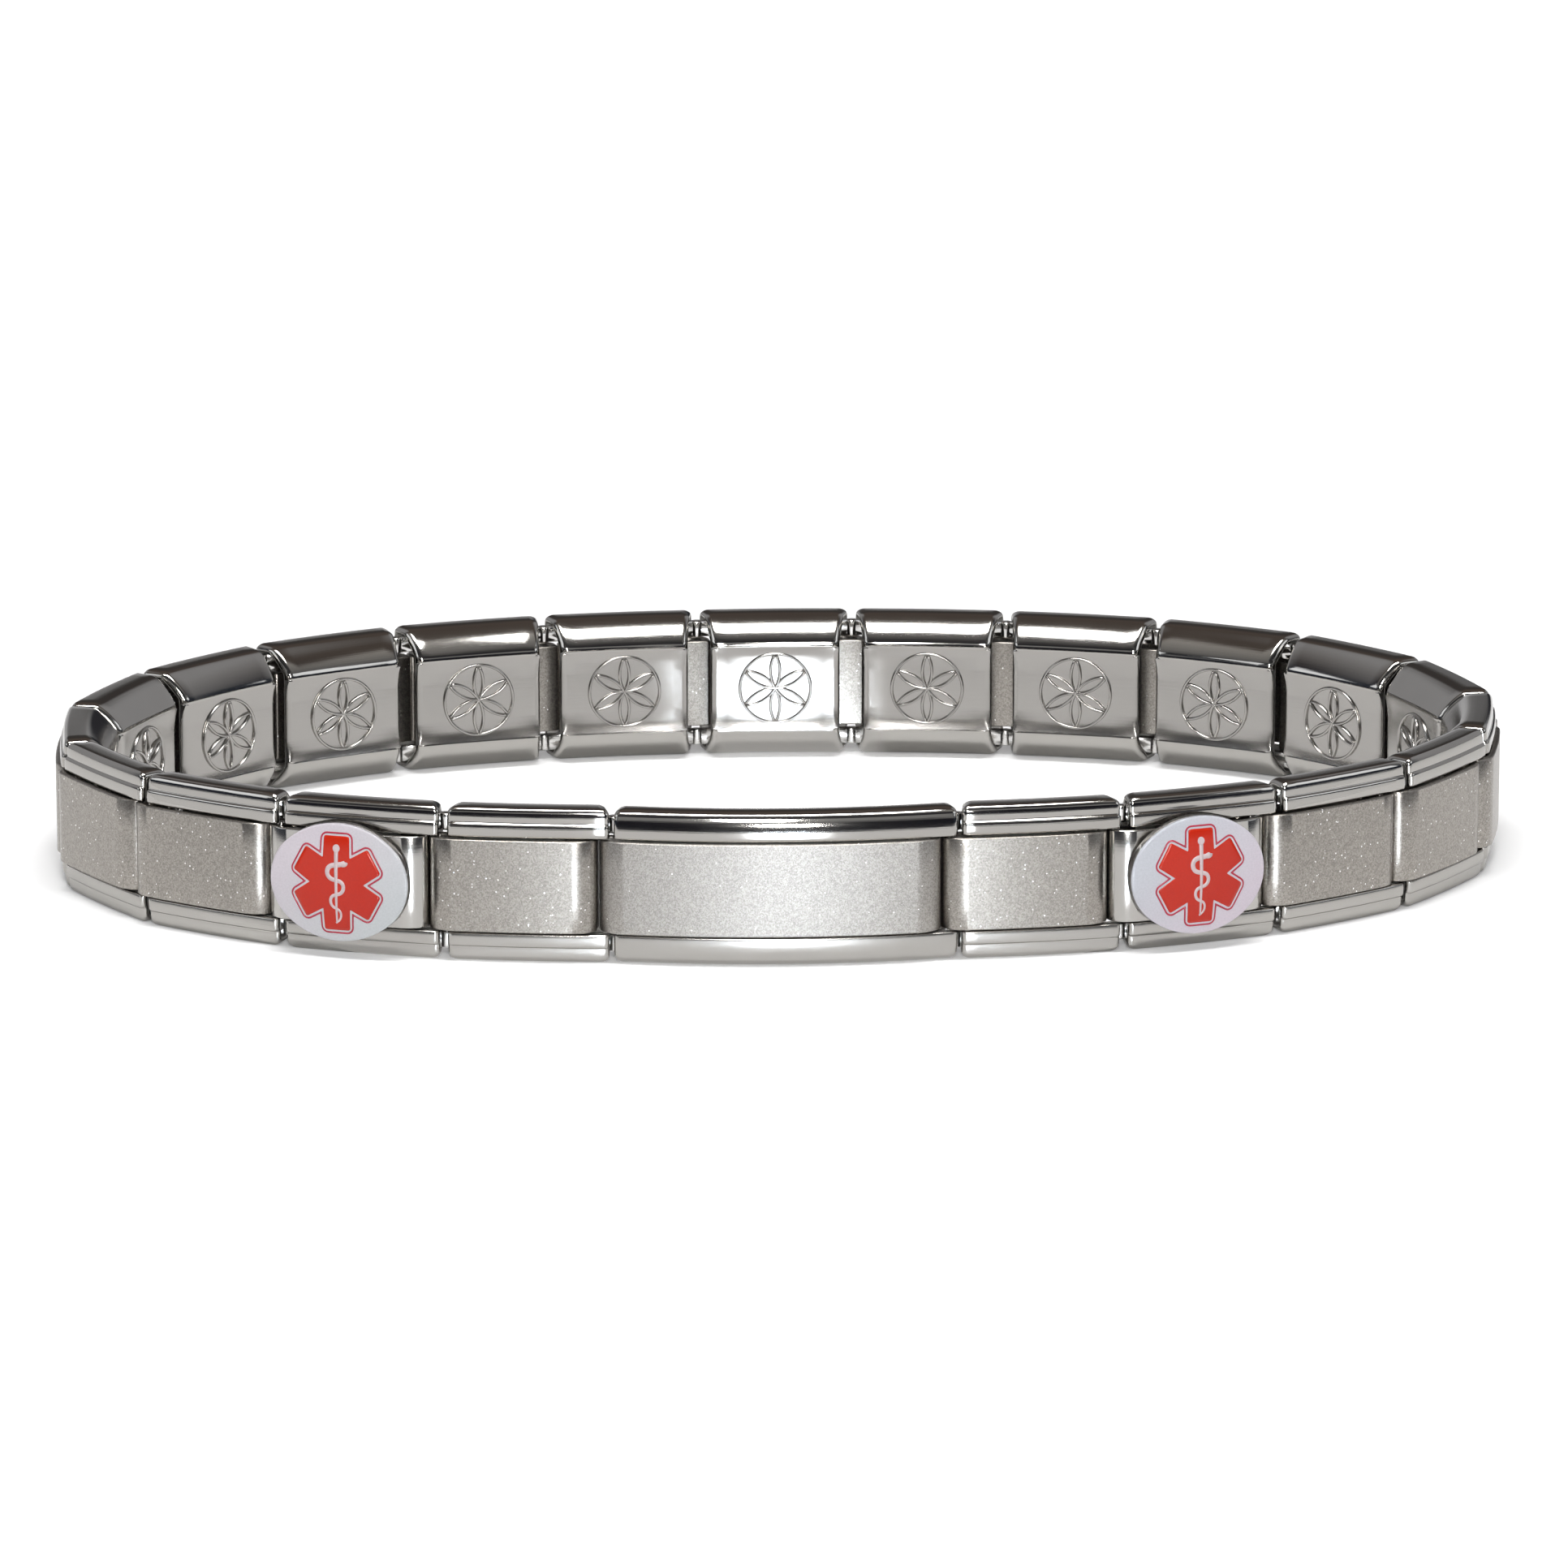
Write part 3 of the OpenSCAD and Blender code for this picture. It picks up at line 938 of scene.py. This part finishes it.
@dataclass
class Staples:
    """The bright pieces in the open ends of the rails: at each joint a pivot and two bars. Their steel is
    much lighter than the rails', painted light in the shaded gaps.
    """

    band: Band
    steel: Material
    inset: float = 1.15
    bar_w: float = 0.6
    height: float = 1.0
    pivot_d: float = 0.8
    grip: float = 1.3
    sheet: float = 0.4
    fit: float = 0.15
    soft: float = 0.12
    squareness: float = 0.35
    narrowing: float = 0.2
    sides: int = 20
    edge_steps: int = 4

    def pin(self, centre: Array, bottom: float) -> Patch:
        """A round pin whose rims are rolled over, as a profile turned about its axis."""
        r, s, h = self.pivot_d / 2, self.soft, self.height
        a = quarter(self.edge_steps)
        radius = np.concatenate([[0], r - s + s * np.sin(a), r - s + s * np.cos(a), [0]])
        level = np.concatenate([[0], s - s * np.cos(a), h - s + s * np.sin(a), [h]])[:, None]
        turn = full_turn(self.sides)
        plan = centre + radius[:, None, None] * unit(turn)
        z = np.broadcast_to(bottom + level, plan.shape[:2])
        return Patch(np.concatenate([plan, z[..., None]], axis=-1), paired(turn * r, level))

    def bar(self, centre: Array, heading: float, length: float, bottom: float) -> Patch:
        """A bar from the pivot into a rail: a box with rolled edges and a rounded far end.

        The ring's outline is a rounded oblong of width and height, which shrinks over the far end.
        """
        turn = full_turn(self.sides)
        square = np.sign(unit(turn)) * np.abs(unit(turn)) ** self.squareness
        across, up = square[:, 0] * self.bar_w / 2, square[:, 1] * self.height / 2
        a = quarter(self.edge_steps)
        along = np.concatenate([[0, 0], length - self.soft + self.soft * np.sin(a), [length]])[:, None]
        share = np.concatenate([[0, 1], 1 - self.narrowing * (1 - np.cos(a)), [0]])[:, None]
        direction = unit(heading)
        plan = centre + along[..., None] * direction + (share * across)[..., None] * left_of(direction)
        z = bottom + self.height / 2 + share * up
        return Patch(np.concatenate([plan, z[..., None]], axis=-1), paired(along, turn))

    def joint(self, before: Link, after: Link, bottom: float) -> list[Patch]:
        """The pin of a joint, midway between the two links' headings, and the bars into their rails."""
        reach = self.band.outer_gap / 2 + self.inset * math.tan(self.band.end_lean) + self.grip
        turn = (after.heading - before.heading) % (2 * math.pi)
        inwards = left_of(unit(after.heading - turn / 2))
        place = after.world(-after.length / 2, 0.0, 0.0)[:2]
        centre = place + inwards * self.inset / math.cos(turn / 2)
        onwards = after.heading - math.asin(after.length / 2 / after.bow_r)
        backwards = before.heading + math.asin(before.length / 2 / before.bow_r) + math.pi
        bars = [self.bar(centre, heading, reach, bottom) for heading in (onwards, backwards)]
        return [self.pin(centre, bottom), *bars]

    def build(self, links: list[Link]) -> None:
        """Makes the row along the top of the band and the one along its bottom."""
        inside = self.sheet + self.fit
        rows = {"staples_top": self.band.height - inside - self.height, "staples_bottom": inside}
        for name, bottom in rows.items():
            joints = zip([links[-1]] + links[:-1], links)
            patches = [patch for pair in joints for patch in self.joint(*pair, bottom)]
            stand_in(make_piece(f"row_{name}", patches, [self.steel]), name)


def rgba(colour: Colour, tone: float = 1.0) -> tuple[float, float, float, float]:
    """A linear colour times a tone, with full alpha."""
    return tone * colour[0], tone * colour[1], tone * colour[2], 1.0


class Tree:
    """Short ways to add nodes to a shader tree."""

    def __init__(self, tree: bpy.types.NodeTree) -> None:
        """Keeps the tree that the nodes go into."""
        self.tree = tree

    def feed(self, socket: Socket, value: object) -> None:
        """Sets a socket's value, or links it where the value is another socket."""
        if isinstance(value, Socket):
            self.tree.links.new(value, socket)
        else:
            socket.default_value = value

    def put(self, node: Node, **values: object) -> None:
        """Sets or links a node's inputs, given by their names with spaces as underscores."""
        for name, value in values.items():
            self.feed(node.inputs[name.replace("_", " ")], value)

    def add(self, kind: str, **values: object) -> Node:
        """Adds a node.

        Args:
            kind: the node's type.
            values: its properties, whose names start small, and its inputs, as put takes them.

        Returns:
            The node.
        """
        node = self.tree.nodes.new(kind)
        for name in [name for name in values if name[0].islower()]:
            setattr(node, name, values.pop(name))
        self.put(node, **values)
        return node

    def math(self, operation: str, a: object, b: object = 0.0, c: object = 0.0) -> Socket:
        """Adds a math node and returns its result."""
        node = self.add("ShaderNodeMath", operation=operation)
        for socket, value in zip(node.inputs, (a, b, c)):
            self.feed(socket, value)
        return node.outputs[0]

    def times(self, a: object, b: object) -> Socket:
        """The product of two values."""
        return self.math("MULTIPLY", a, b)

    def mix(self, factor: object, a: object, b: object) -> Socket:
        """Adds a colour mix and returns its result."""
        node = self.add("ShaderNodeMix", data_type="RGBA")
        for name, value in (("Factor_Float", factor), ("A_Color", a), ("B_Color", b)):
            self.feed(next(s for s in node.inputs if s.identifier == name), value)
        return next(s for s in node.outputs if s.identifier == "Result_Color")

    def fade(self, value: Socket, ends: Range, to: Range = (0.0, 1.0), smooth: bool = True) -> Socket:
        """Fades from one value to another, while the input goes from one end of a range to the other."""
        kind = "SMOOTHSTEP" if smooth else "LINEAR"
        node = self.add(
            "ShaderNodeMapRange", interpolation_type=kind, Value=value,
            From_Min=ends[0], From_Max=ends[1], To_Min=to[0], To_Max=to[1],
        )
        return node.outputs[0]

    def split(self, vector: Socket) -> list[Socket]:
        """The three coordinates of a vector."""
        return list(self.add("ShaderNodeSeparateXYZ", Vector=vector).outputs)

    def channels(self, colour: Socket) -> list[Socket]:
        """The three channels of a colour."""
        return list(self.add("ShaderNodeSeparateColor", Color=colour).outputs)

    def place(self, kind: str = "Object") -> Socket:
        """A texture coordinate: the place on the object, or the direction into the world."""
        return self.add("ShaderNodeTexCoord").outputs[kind]

    def uv(self) -> Socket:
        """The surface's own uv, in millimetres."""
        return self.add("ShaderNodeUVMap", uv_map=UV_MAP).outputs["UV"]

    def noise(self, vector: Socket, scale: object, detail: float, roughness: float = 0.5) -> Socket:
        """Adds a noise and returns its value."""
        node = self.add(
            "ShaderNodeTexNoise", Vector=vector, Scale=scale, Detail=detail, Roughness=roughness
        )
        return node.outputs[0]

    def bump(self, height: Socket, strength: float, distance: float) -> Socket:
        """The normal of a surface that is raised by a height, over a distance in metres."""
        node = self.add("ShaderNodeBump", Strength=strength, Distance=distance, Height=height)
        return node.outputs[0]

    def group(self, group: bpy.types.NodeTree, **values: float) -> dict[str, Socket]:
        """Places a shader group with its own values and returns its outputs by name."""
        return self.add("ShaderNodeGroup", node_tree=group, **values).outputs


def new_group(name: str, inputs: dict[str, float],
              outputs: tuple[str, ...]) -> tuple[Tree, dict[str, Socket]]:
    """Makes an empty shader group.

    Args:
        name: the group's name.
        inputs: its float inputs with their values.
        outputs: the names of its float outputs.

    Returns:
        A helper for the group's tree, and the sockets that bring its inputs.
    """
    group = bpy.data.node_groups.new(name, "ShaderNodeTree")
    for label, value in inputs.items():
        socket = group.interface.new_socket(label, in_out="INPUT", socket_type="NodeSocketFloat")
        socket.default_value = value
    for label in outputs:
        group.interface.new_socket(label, in_out="OUTPUT", socket_type="NodeSocketFloat")
    tree = Tree(group)
    return tree, tree.add("NodeGroupInput").outputs


@dataclass
class Effects:
    """Shader groups that more than one finish uses.

    Lines and cells count per millimetre of the uv, and the scales of handling per metre.
    """

    wide_cells: float = 0.62
    spark_radius: float = 0.40
    rough_cells: float = 0.5
    cell_height: float = 0.5
    smudges: float = 260.0
    dents: float = 1400.0

    def __post_init__(self) -> None:
        """Builds the groups."""
        self.hairlines = self.make_hairlines()
        self.grain = self.make_grain()
        self.handling = self.make_handling()

    def make_hairlines(self) -> bpy.types.NodeTree:
        """Fine polishing lines: noise that is long along the link and thin across it."""
        tree, given = new_group("hairlines", {"Lines": 14.0, "Length": 0.3}, ("Mask",))
        u, v, _ = tree.split(tree.uv())
        along, across = tree.times(u, given["Length"]), tree.times(v, given["Lines"])
        place = tree.add("ShaderNodeCombineXYZ", X=along, Y=across)
        lines = tree.noise(place.outputs[0], scale=1.0, detail=3.0, roughness=0.6)
        tree.add("NodeGroupOutput", Mask=lines)
        return tree.tree

    def make_grain(self) -> bpy.types.NodeTree:
        """Blasted grain: small random cells, and some wider ones whose middles mark painted glints, spots
        that stand in for light caught by the grain.
        """
        tree, given = new_group(
            "blasted_grain", {"Cells": 12.0, "Sparkle": 0.03}, ("Mask", "Sparks", "Height")
        )
        uv, cells = tree.uv(), given["Cells"]
        small = tree.add("ShaderNodeTexVoronoi", Vector=uv, Scale=cells)
        wide = tree.add("ShaderNodeTexVoronoi", Vector=uv, Scale=tree.times(cells, self.wide_cells))
        _, tone, level = tree.channels(small.outputs["Color"])
        chance = tree.channels(wide.outputs["Color"])[0]
        lucky = tree.math("GREATER_THAN", chance, tree.math("SUBTRACT", 1.0, given["Sparkle"]))
        near = tree.math("LESS_THAN", wide.outputs["Distance"], self.spark_radius)
        scale = tree.times(cells, self.rough_cells)
        rough = tree.noise(uv, scale, detail=4.0, roughness=0.75)
        height = tree.math("MULTIPLY_ADD", level, self.cell_height, rough)
        tree.add("NodeGroupOutput", Mask=tone, Sparks=tree.times(lucky, near), Height=height)
        return tree.tree

    def make_handling(self) -> bpy.types.NodeTree:
        """Traces of handling: soft smudges and a few fine dents, from noise in object coordinates."""
        tree, given = new_group("handling", {"Scale": 1.0}, ("Smudge", "Dents"))
        place, scale = tree.place(), given["Scale"]
        smudge = tree.noise(place, tree.times(scale, self.smudges), detail=3.0, roughness=0.55)
        dents = tree.noise(place, tree.times(scale, self.dents), detail=2.0)
        tree.add("NodeGroupOutput", Smudge=smudge, Dents=dents)
        return tree.tree


def new_material(name: str) -> tuple[Material, Tree, Node]:
    """Makes a material and returns it with its tree and its shader."""
    material = bpy.data.materials.new(name)
    material.use_nodes = True
    return material, Tree(material.node_tree), material.node_tree.nodes["Principled BSDF"]


@dataclass(frozen=True)
class PolishedSteel:
    """Polished stainless steel, from mirror to satin, with fine lines along the link."""

    name: str
    colour: Colour = (0.46, 0.445, 0.42)
    roughness: float = 0.07
    spread: float = 0.05
    lines: float = 14.0
    bump: float = 0.02
    worn: float = 0.15
    worn_levels: Range = (0.0026, 0.0013)
    smudge_tone: float = 0.9
    bump_distance: float = 0.0002

    def build(self, effects: Effects) -> Material:
        """Makes the material: lines and smudges vary its roughness, and what lies low is worn."""
        material, tree, shader = new_material(self.name)
        lines = tree.group(effects.hairlines, Lines=self.lines)["Mask"]
        smudge = tree.group(effects.handling)["Smudge"]
        varied = tree.math("MULTIPLY_ADD", lines, self.spread, self.roughness - self.spread / 2)
        smudged = tree.math("MULTIPLY_ADD", smudge, self.spread, varied)
        low = tree.fade(tree.split(tree.place())[2], self.worn_levels)
        tree.put(
            shader, Metallic=1.0,
            Base_Color=tree.mix(smudge, rgba(self.colour, self.smudge_tone), rgba(self.colour)),
            Roughness=tree.math("MULTIPLY_ADD", low, self.worn, smudged),
            Normal=tree.bump(lines, self.bump, self.bump_distance),
        )
        return material


@dataclass(frozen=True)
class BlastedSteel:
    """Bead-blasted stainless steel: matte, with a grain and painted glints here and there."""

    name: str
    colour: Colour = (0.350, 0.327, 0.298)
    roughness: float = 0.29
    cells: float = 14.0
    sparkle: float = 0.022
    bump: float = 0.07
    tones: Range = (0.74, 1.20)
    spark: Colour = (0.95, 0.94, 0.93)
    spark_polish: float = 0.06
    smudged: float = 0.08
    bump_distance: float = 0.00008

    def build(self, effects: Effects) -> Material:
        """Makes the material: cells vary its colour and normal, and sparks are painted glints, near white
        in colour and smoother.
        """
        material, tree, shader = new_material(self.name)
        grain = tree.group(effects.grain, Cells=self.cells, Sparkle=self.sparkle)
        smudge = tree.group(effects.handling, Scale=0.6)["Smudge"]
        toned = tree.mix(grain["Mask"], *(rgba(self.colour, tone) for tone in self.tones))
        rough = tree.math("MULTIPLY_ADD", smudge, self.smudged, self.roughness - self.smudged / 2)
        tree.put(
            shader, Metallic=1.0,
            # painted glints: near-white colour where the sparks lie
            Base_Color=tree.mix(grain["Sparks"], toned, rgba(self.spark)),
            Roughness=tree.math("MULTIPLY_ADD", grain["Sparks"], -self.spark_polish, rough),
            Normal=tree.bump(grain["Height"], self.bump, self.bump_distance),
        )
        return material


@dataclass(frozen=True)
class Enamel:
    """Glossy resin over print, whose colour turns slowly towards the badge's lower right. On the white
    faces this turn is a painted reflection, bluish on the side towards the bracelet's middle; on the prints
    it is a slight shift.
    """

    name: str
    colour: Colour
    turned: Colour
    slant: Range = (-4.0, 4.5)
    mottling: Range = (0.86, 1.1)
    roughness: float = 0.12
    dented: float = 0.06

    def build(self, effects: Effects) -> Material:
        """Makes the material: a faint mottling in the colour under a clear coat."""
        material, tree, shader = new_material(self.name)
        dents = tree.group(effects.handling, Scale=1.2)["Dents"]
        uv = tree.uv()
        x, y, _ = tree.split(uv)
        # painted reflection on the white faces: the colour turns from one colour to the other across the
        # badge
        share = tree.fade(tree.math("SUBTRACT", x, y), self.slant, smooth=False)
        toned = tree.mix(share, rgba(self.colour), rgba(self.turned))
        dots = tree.noise(uv, scale=9.0, detail=2.0)
        shade = tree.fade(dots, (0.0, 1.0), self.mottling, smooth=False)
        faded = tree.add("ShaderNodeHueSaturation", Color=toned, Value=shade)
        tree.put(
            shader, Base_Color=faded.outputs[0],
            Roughness=tree.math("MULTIPLY_ADD", dents, self.dented, self.roughness),
            Specular_IOR_Level=0.3, Coat_Weight=0.2, Coat_Roughness=0.04,
        )
        return material


FINISHES = (
    PolishedSteel("rail_polish"),
    # the back: rougher than the rails, and darker in colour, which is painted shade
    PolishedSteel("back_polish_and_shade", (0.42, 0.405, 0.385), 0.17, 0.06, 6.0, 0.01),
    PolishedSteel("inside_steel", (0.52, 0.505, 0.48), 0.48, 0.10, 6.0, 0.03, 0.0),
    PolishedSteel("badge_plate_polish", (0.50, 0.485, 0.46), 0.14, 0.06, 9.0, 0.02),
    # the staples' steel: much lighter than the rails', painted light
    PolishedSteel("lit_staple_polish", (0.72, 0.71, 0.69), 0.10, 0.05, 10.0, 0.02),
    BlastedSteel("blasted_plate"),
    BlastedSteel("identity_grain", (0.38, 0.36, 0.335), 0.42, 16.0, 0.004, 0.09),
    BlastedSteel("cup_edge", (0.22, 0.21, 0.20), 0.34, 7.0, 0.02, 0.6),
    # white faces: the turn between their two colours is a painted reflection, bluish towards the bracelet's
    # middle
    Enamel("white_dome_left", (0.515, 0.475, 0.515), (0.455, 0.475, 0.49)),
    Enamel("white_dome_right", (0.455, 0.47, 0.51), (0.525, 0.47, 0.525)),
    Enamel("red_print", (0.45, 0.0175, 0.0042), (0.415, 0.0145, 0.0038)),
    Enamel("crimson_print", (0.37, 0.032, 0.06), (0.35, 0.028, 0.05)),
    Enamel("white_print", (0.53, 0.44, 0.45), (0.54, 0.43, 0.44)),
)


@dataclass(frozen=True)
class Lamp:
    """A rectangular soft light that faces the bracelet.

    azimuth and elevation give its direction in degrees: 0 towards the camera and 90 to the right,
    and the height above the floor. distance and size are in metres and power in watts.
    """

    name: str
    azimuth: float
    elevation: float
    distance: float
    size: Range
    power: float
    colour: Colour = (1, 1, 1)

    def build(self) -> None:
        """Hangs up the light."""
        data = bpy.data.lights.new(self.name, "AREA")
        data.shape = "RECTANGLE"
        data.size, data.size_y = self.size
        data.energy = self.power
        data.color = self.colour
        lamp = bpy.data.objects.new(self.name, data)
        bpy.context.scene.collection.objects.link(lamp)
        a, e = math.radians(self.azimuth), math.radians(self.elevation)
        towards = Vector((math.sin(a) * math.cos(e), -math.cos(a) * math.cos(e), math.sin(e)))
        lamp.location = towards * self.distance
        lamp.rotation_mode = "QUATERNION"
        lamp.rotation_quaternion = towards.to_track_quat("Z", "Y")
        lamp.visible_camera = False


@dataclass
class Studio:
    """The camera, the pale board that the bracelet stands on, the surroundings and the lights.

    aim, distance, lens and sensor are in millimetres, and the sizes and places of the board and of
    the card below it in metres. A fade holds the two values between which something fades in.
    """

    aim: tuple[float, float, float] = (0.24, -1.42, 4.5)
    distance: float = 539.3
    elevation: float = math.radians(13.52)
    lens: float = 208.1
    sensor: float = 36.0
    clip: Range = (0.02, 60.0)
    board_half: float = 6.0
    board_colour: Colour = (0.86, 0.86, 0.86)
    board_lift: Range = (0.16, 0.62)
    lift_fade: Range = (0.05, 0.34)
    mirrored_colour: Colour = (0.08, 0.08, 0.09)
    mirrored_fade: Range = (-0.10, -0.22)
    open_share: float = 0.5
    open_before: float = -0.024
    open_behind: float = -0.008
    open_x: float = 0.001
    open_fade: Range = (0.0062, 0.0042)
    below_half: float = 25.0
    below_level: float = -1.0
    below_tone: float = 0.9
    streak_glow: float = 15.0
    streak_colour: Colour = (0.77, 0.88, 1.0)
    streak_azimuth: float = math.radians(5)
    streak_width: Range = (math.radians(6.5), math.radians(2))
    streak_fade: Range = (2.1, 3.4)
    surroundings: tuple[tuple[float, Colour], ...] = (
        (0, (0.02, 0.02, 0.026)), (20, (0.018, 0.018, 0.024)), (25, (0.34, 0.34, 0.34)),
        (32, (0.36, 0.36, 0.36)), (37, (0.03, 0.03, 0.036)), (54, (0.05, 0.05, 0.052)),
        (67, (0.26, 0.255, 0.25)), (84, (0.45, 0.43, 0.41)), (88, (0.11, 0.09, 0.078)),
        (125, (0.13, 0.105, 0.092)), (150, (0.07, 0.062, 0.06)), (164, (0.06, 0.055, 0.052)),
        (172, (0.48, 0.48, 0.49)), (180, (0.55, 0.55, 0.56)),
    )
    sides: Colour = (0.03, 0.036, 0.05)
    sides_fade: Range = (0.5, 0.95)
    sides_behind: Colour = (0.42, 0.42, 0.435)
    behind_fade: Range = (0.1, 0.45)
    pale_fade: Range = (0.3, 0.48)
    dusk: Colour = (0.03, 0.03, 0.035)
    dusk_fade: Range = (0.03, 0.14)
    dusk_angles: Range = (math.radians(164), math.radians(170))
    lamps: tuple[Lamp, ...] = (
        Lamp("flash", 5, 13.5, 0.62, (0.07, 0.07), 0.9),
        Lamp("fill", 0, 30, 0.62, (0.10, 0.10), 1.0),
        Lamp("overhead", 0, 78, 0.55, (0.36, 0.12), 2.6),
        Lamp("left_card", -75, 28, 0.6, (0.35, 0.25), 0.4, (0.93, 0.96, 1.0)),
        Lamp("right_card", 75, 28, 0.6, (0.35, 0.25), 0.4, (0.93, 0.96, 1.0)),
    )

    def camera(self) -> None:
        """Sets the camera at the photograph's viewing angle."""
        data = bpy.data.cameras.new("camera")
        data.lens, data.sensor_width = self.lens, self.sensor
        data.clip_start, data.clip_end = self.clip
        camera = bpy.data.objects.new("camera", data)
        bpy.context.scene.collection.objects.link(camera)
        back = Vector((0, -math.cos(self.elevation), math.sin(self.elevation)))
        camera.location = (Vector(self.aim) + back * self.distance) * MM
        camera.rotation_mode = "QUATERNION"
        camera.rotation_quaternion = (-back).to_track_quat("-Z", "Y")
        bpy.context.scene.camera = camera

    def card(self, name: str, half: float, level: float, material: Material) -> bpy.types.Object:
        """Places a flat square card, of half its size and at a level in metres."""
        mesh = bpy.data.meshes.new(name)
        corners = [(x * half, y * half, level) for x, y in ((-1, -1), (1, -1), (1, 1), (-1, 1))]
        mesh.from_pydata(corners, [], [(0, 1, 2, 3)])
        mesh.materials.append(material)
        card = bpy.data.objects.new(name, mesh)
        bpy.context.scene.collection.objects.link(card)
        return card

    def open_board(self, tree: Tree, x: Socket, y: Socket) -> Socket:
        """Where the board mirrors the streak: before the band and, inside it, about the middle."""
        before = tree.math("LESS_THAN", y, self.open_before)
        behind = tree.math("GREATER_THAN", y, self.open_behind)
        from_middle = tree.math("ABSOLUTE", tree.math("SUBTRACT", x, self.open_x))
        return tree.math("MULTIPLY_ADD", behind, tree.fade(from_middle, self.open_fade), before)

    def board(self) -> None:
        """Makes the pale board.

        It glows a little to the camera alone, and more far behind, where the photo is white. Far in
        front, mirrors see it darker. Where it is open, mirrors see half of the streak's card below.
        """
        material, tree, shader = new_material("floor_card")
        path = tree.add("ShaderNodeLightPath").outputs
        x, y, _ = tree.split(tree.place())
        lift = tree.fade(y, self.lift_fade, self.board_lift, smooth=False)
        dim = tree.times(tree.fade(y, self.mirrored_fade), path["Is Glossy Ray"])
        tree.put(
            shader, Roughness=0.7, Specular_IOR_Level=0.1, Emission_Color=rgba((1, 1, 1)),
            Emission_Strength=tree.times(path["Is Camera Ray"], lift),
            Base_Color=tree.mix(dim, rgba(self.board_colour), rgba(self.mirrored_colour)),
        )
        clear = tree.add("ShaderNodeBsdfTransparent")
        mirrored = tree.times(path["Is Glossy Ray"], self.open_share)
        mixed = tree.add("ShaderNodeMixShader")
        surfaces = (tree.times(self.open_board(tree, x, y), mirrored), shader.outputs[0], clear.outputs[0])
        for socket, value in zip(mixed.inputs, surfaces):
            tree.feed(socket, value)
        tree.put(tree.tree.nodes["Material Output"], Surface=mixed.outputs[0])
        self.card("floor", self.board_half, 0.0, material)

    def streak(self) -> None:
        """Makes the card below the board that only mirrors see: a pale tone with the flash's streak.

        The streak is a wedge about its azimuth, the angle of (x, -y) as seen from the bracelet, and
        fades in with the distance, the root of (x squared + y squared), so it is low.
        """
        material, tree, shader = new_material("streak_card")
        x, y, _ = tree.split(tree.place())
        forwards = tree.times(y, -1.0)
        azimuth = tree.math("SUBTRACT", tree.math("ARCTAN2", x, forwards), self.streak_azimuth)
        wedge = tree.fade(tree.math("ABSOLUTE", azimuth), self.streak_width)
        away = tree.math("SQRT", tree.math("MULTIPLY_ADD", forwards, forwards, tree.times(x, x)))
        mask = tree.times(wedge, tree.fade(away, self.streak_fade))
        glow = tree.math("MULTIPLY_ADD", mask, self.streak_glow / self.open_share, self.below_tone)
        tree.put(
            shader, Base_Color=rgba((0, 0, 0)), Specular_IOR_Level=0.0, Emission_Strength=glow,
            Emission_Color=tree.mix(mask, rgba((1, 1, 1)), rgba(self.streak_colour)),
        )
        material.cycles.emission_sampling = "NONE"
        card = self.card("streak_card", self.below_half, self.below_level, material)
        card.visible_camera = card.visible_diffuse = card.visible_shadow = False
        card.visible_transmission = card.visible_volume_scatter = False

    def world(self) -> None:
        """Makes the surroundings that the polished steel mirrors.

        Their brightness follows the angle of the direction about the x axis, from the horizon
        on the camera's side over the top to the horizon behind. They darken to the sides in front
        and to the right of the horizon behind, and are paler to the sides behind.
        """
        world = bpy.data.worlds.new("studio")
        world.use_nodes = True
        bpy.context.scene.world = world
        tree = Tree(world.node_tree)
        x, y, z = tree.split(tree.place("Generated"))
        angle = tree.math("ARCTAN2", z, tree.times(y, -1.0))
        ramp = tree.add("ShaderNodeValToRGB", Fac=tree.math("DIVIDE", angle, math.pi))
        elements = ramp.color_ramp.elements
        elements.remove(elements[0])
        for k, (degrees, colour) in enumerate(self.surroundings):
            element = elements.new(degrees / 180) if k else elements[0]
            element.position = degrees / 180
            element.color = rgba(colour)
        sideways = tree.math("ABSOLUTE", x)
        right = tree.fade(x, self.dusk_fade, smooth=False)
        dusk = tree.times(right, tree.fade(angle, self.dusk_angles, smooth=False))
        dusky = tree.mix(dusk, ramp.outputs["Color"], rgba(self.dusk))
        framed = tree.mix(tree.fade(sideways, self.sides_fade), dusky, rgba(self.sides))
        behind = tree.fade(y, self.behind_fade, smooth=False)
        pale = tree.times(behind, tree.fade(sideways, self.pale_fade))
        tree.put(world.node_tree.nodes["Background"], Color=tree.mix(pale, framed, rgba(self.sides_behind)))

    def build(self) -> None:
        """Sets up the camera, the board with the card below it, the surroundings and the lights."""
        self.camera()
        self.board()
        self.streak()
        self.world()
        for lamp in self.lamps:
            lamp.build()
        bpy.context.scene.view_settings.view_transform = "Standard"


def main() -> None:
    """Builds the studio and the bracelet's pieces, in order."""
    logging.basicConfig(level=logging.INFO, format="%(name)s: %(message)s")
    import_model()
    Studio().build()
    effects = Effects()
    made = {finish.name: finish.build(effects) for finish in FINISHES}
    band = Band()
    links = Chain(band).links()
    frames = LinkFrame(band, made["rail_polish"], made["back_polish_and_shade"], made["inside_steel"])
    plates = FrontPlate(band)
    enamels = {2: made["white_dome_left"], 6: made["white_dome_right"]}
    prints = [made["red_print"], made["crimson_print"], made["white_print"]]
    badges = Badge(plates, made["badge_plate_polish"], made["cup_edge"], enamels, prints)
    for link in links:
        frames.build(link)
        if link.kind is Kind.BADGE:
            badges.build(link)
        else:
            plates.build(link, made["blasted_plate" if link.single else "identity_grain"])
    Staples(band, made["lit_staple_polish"]).build(links)


if __name__ == "__main__":
    main()
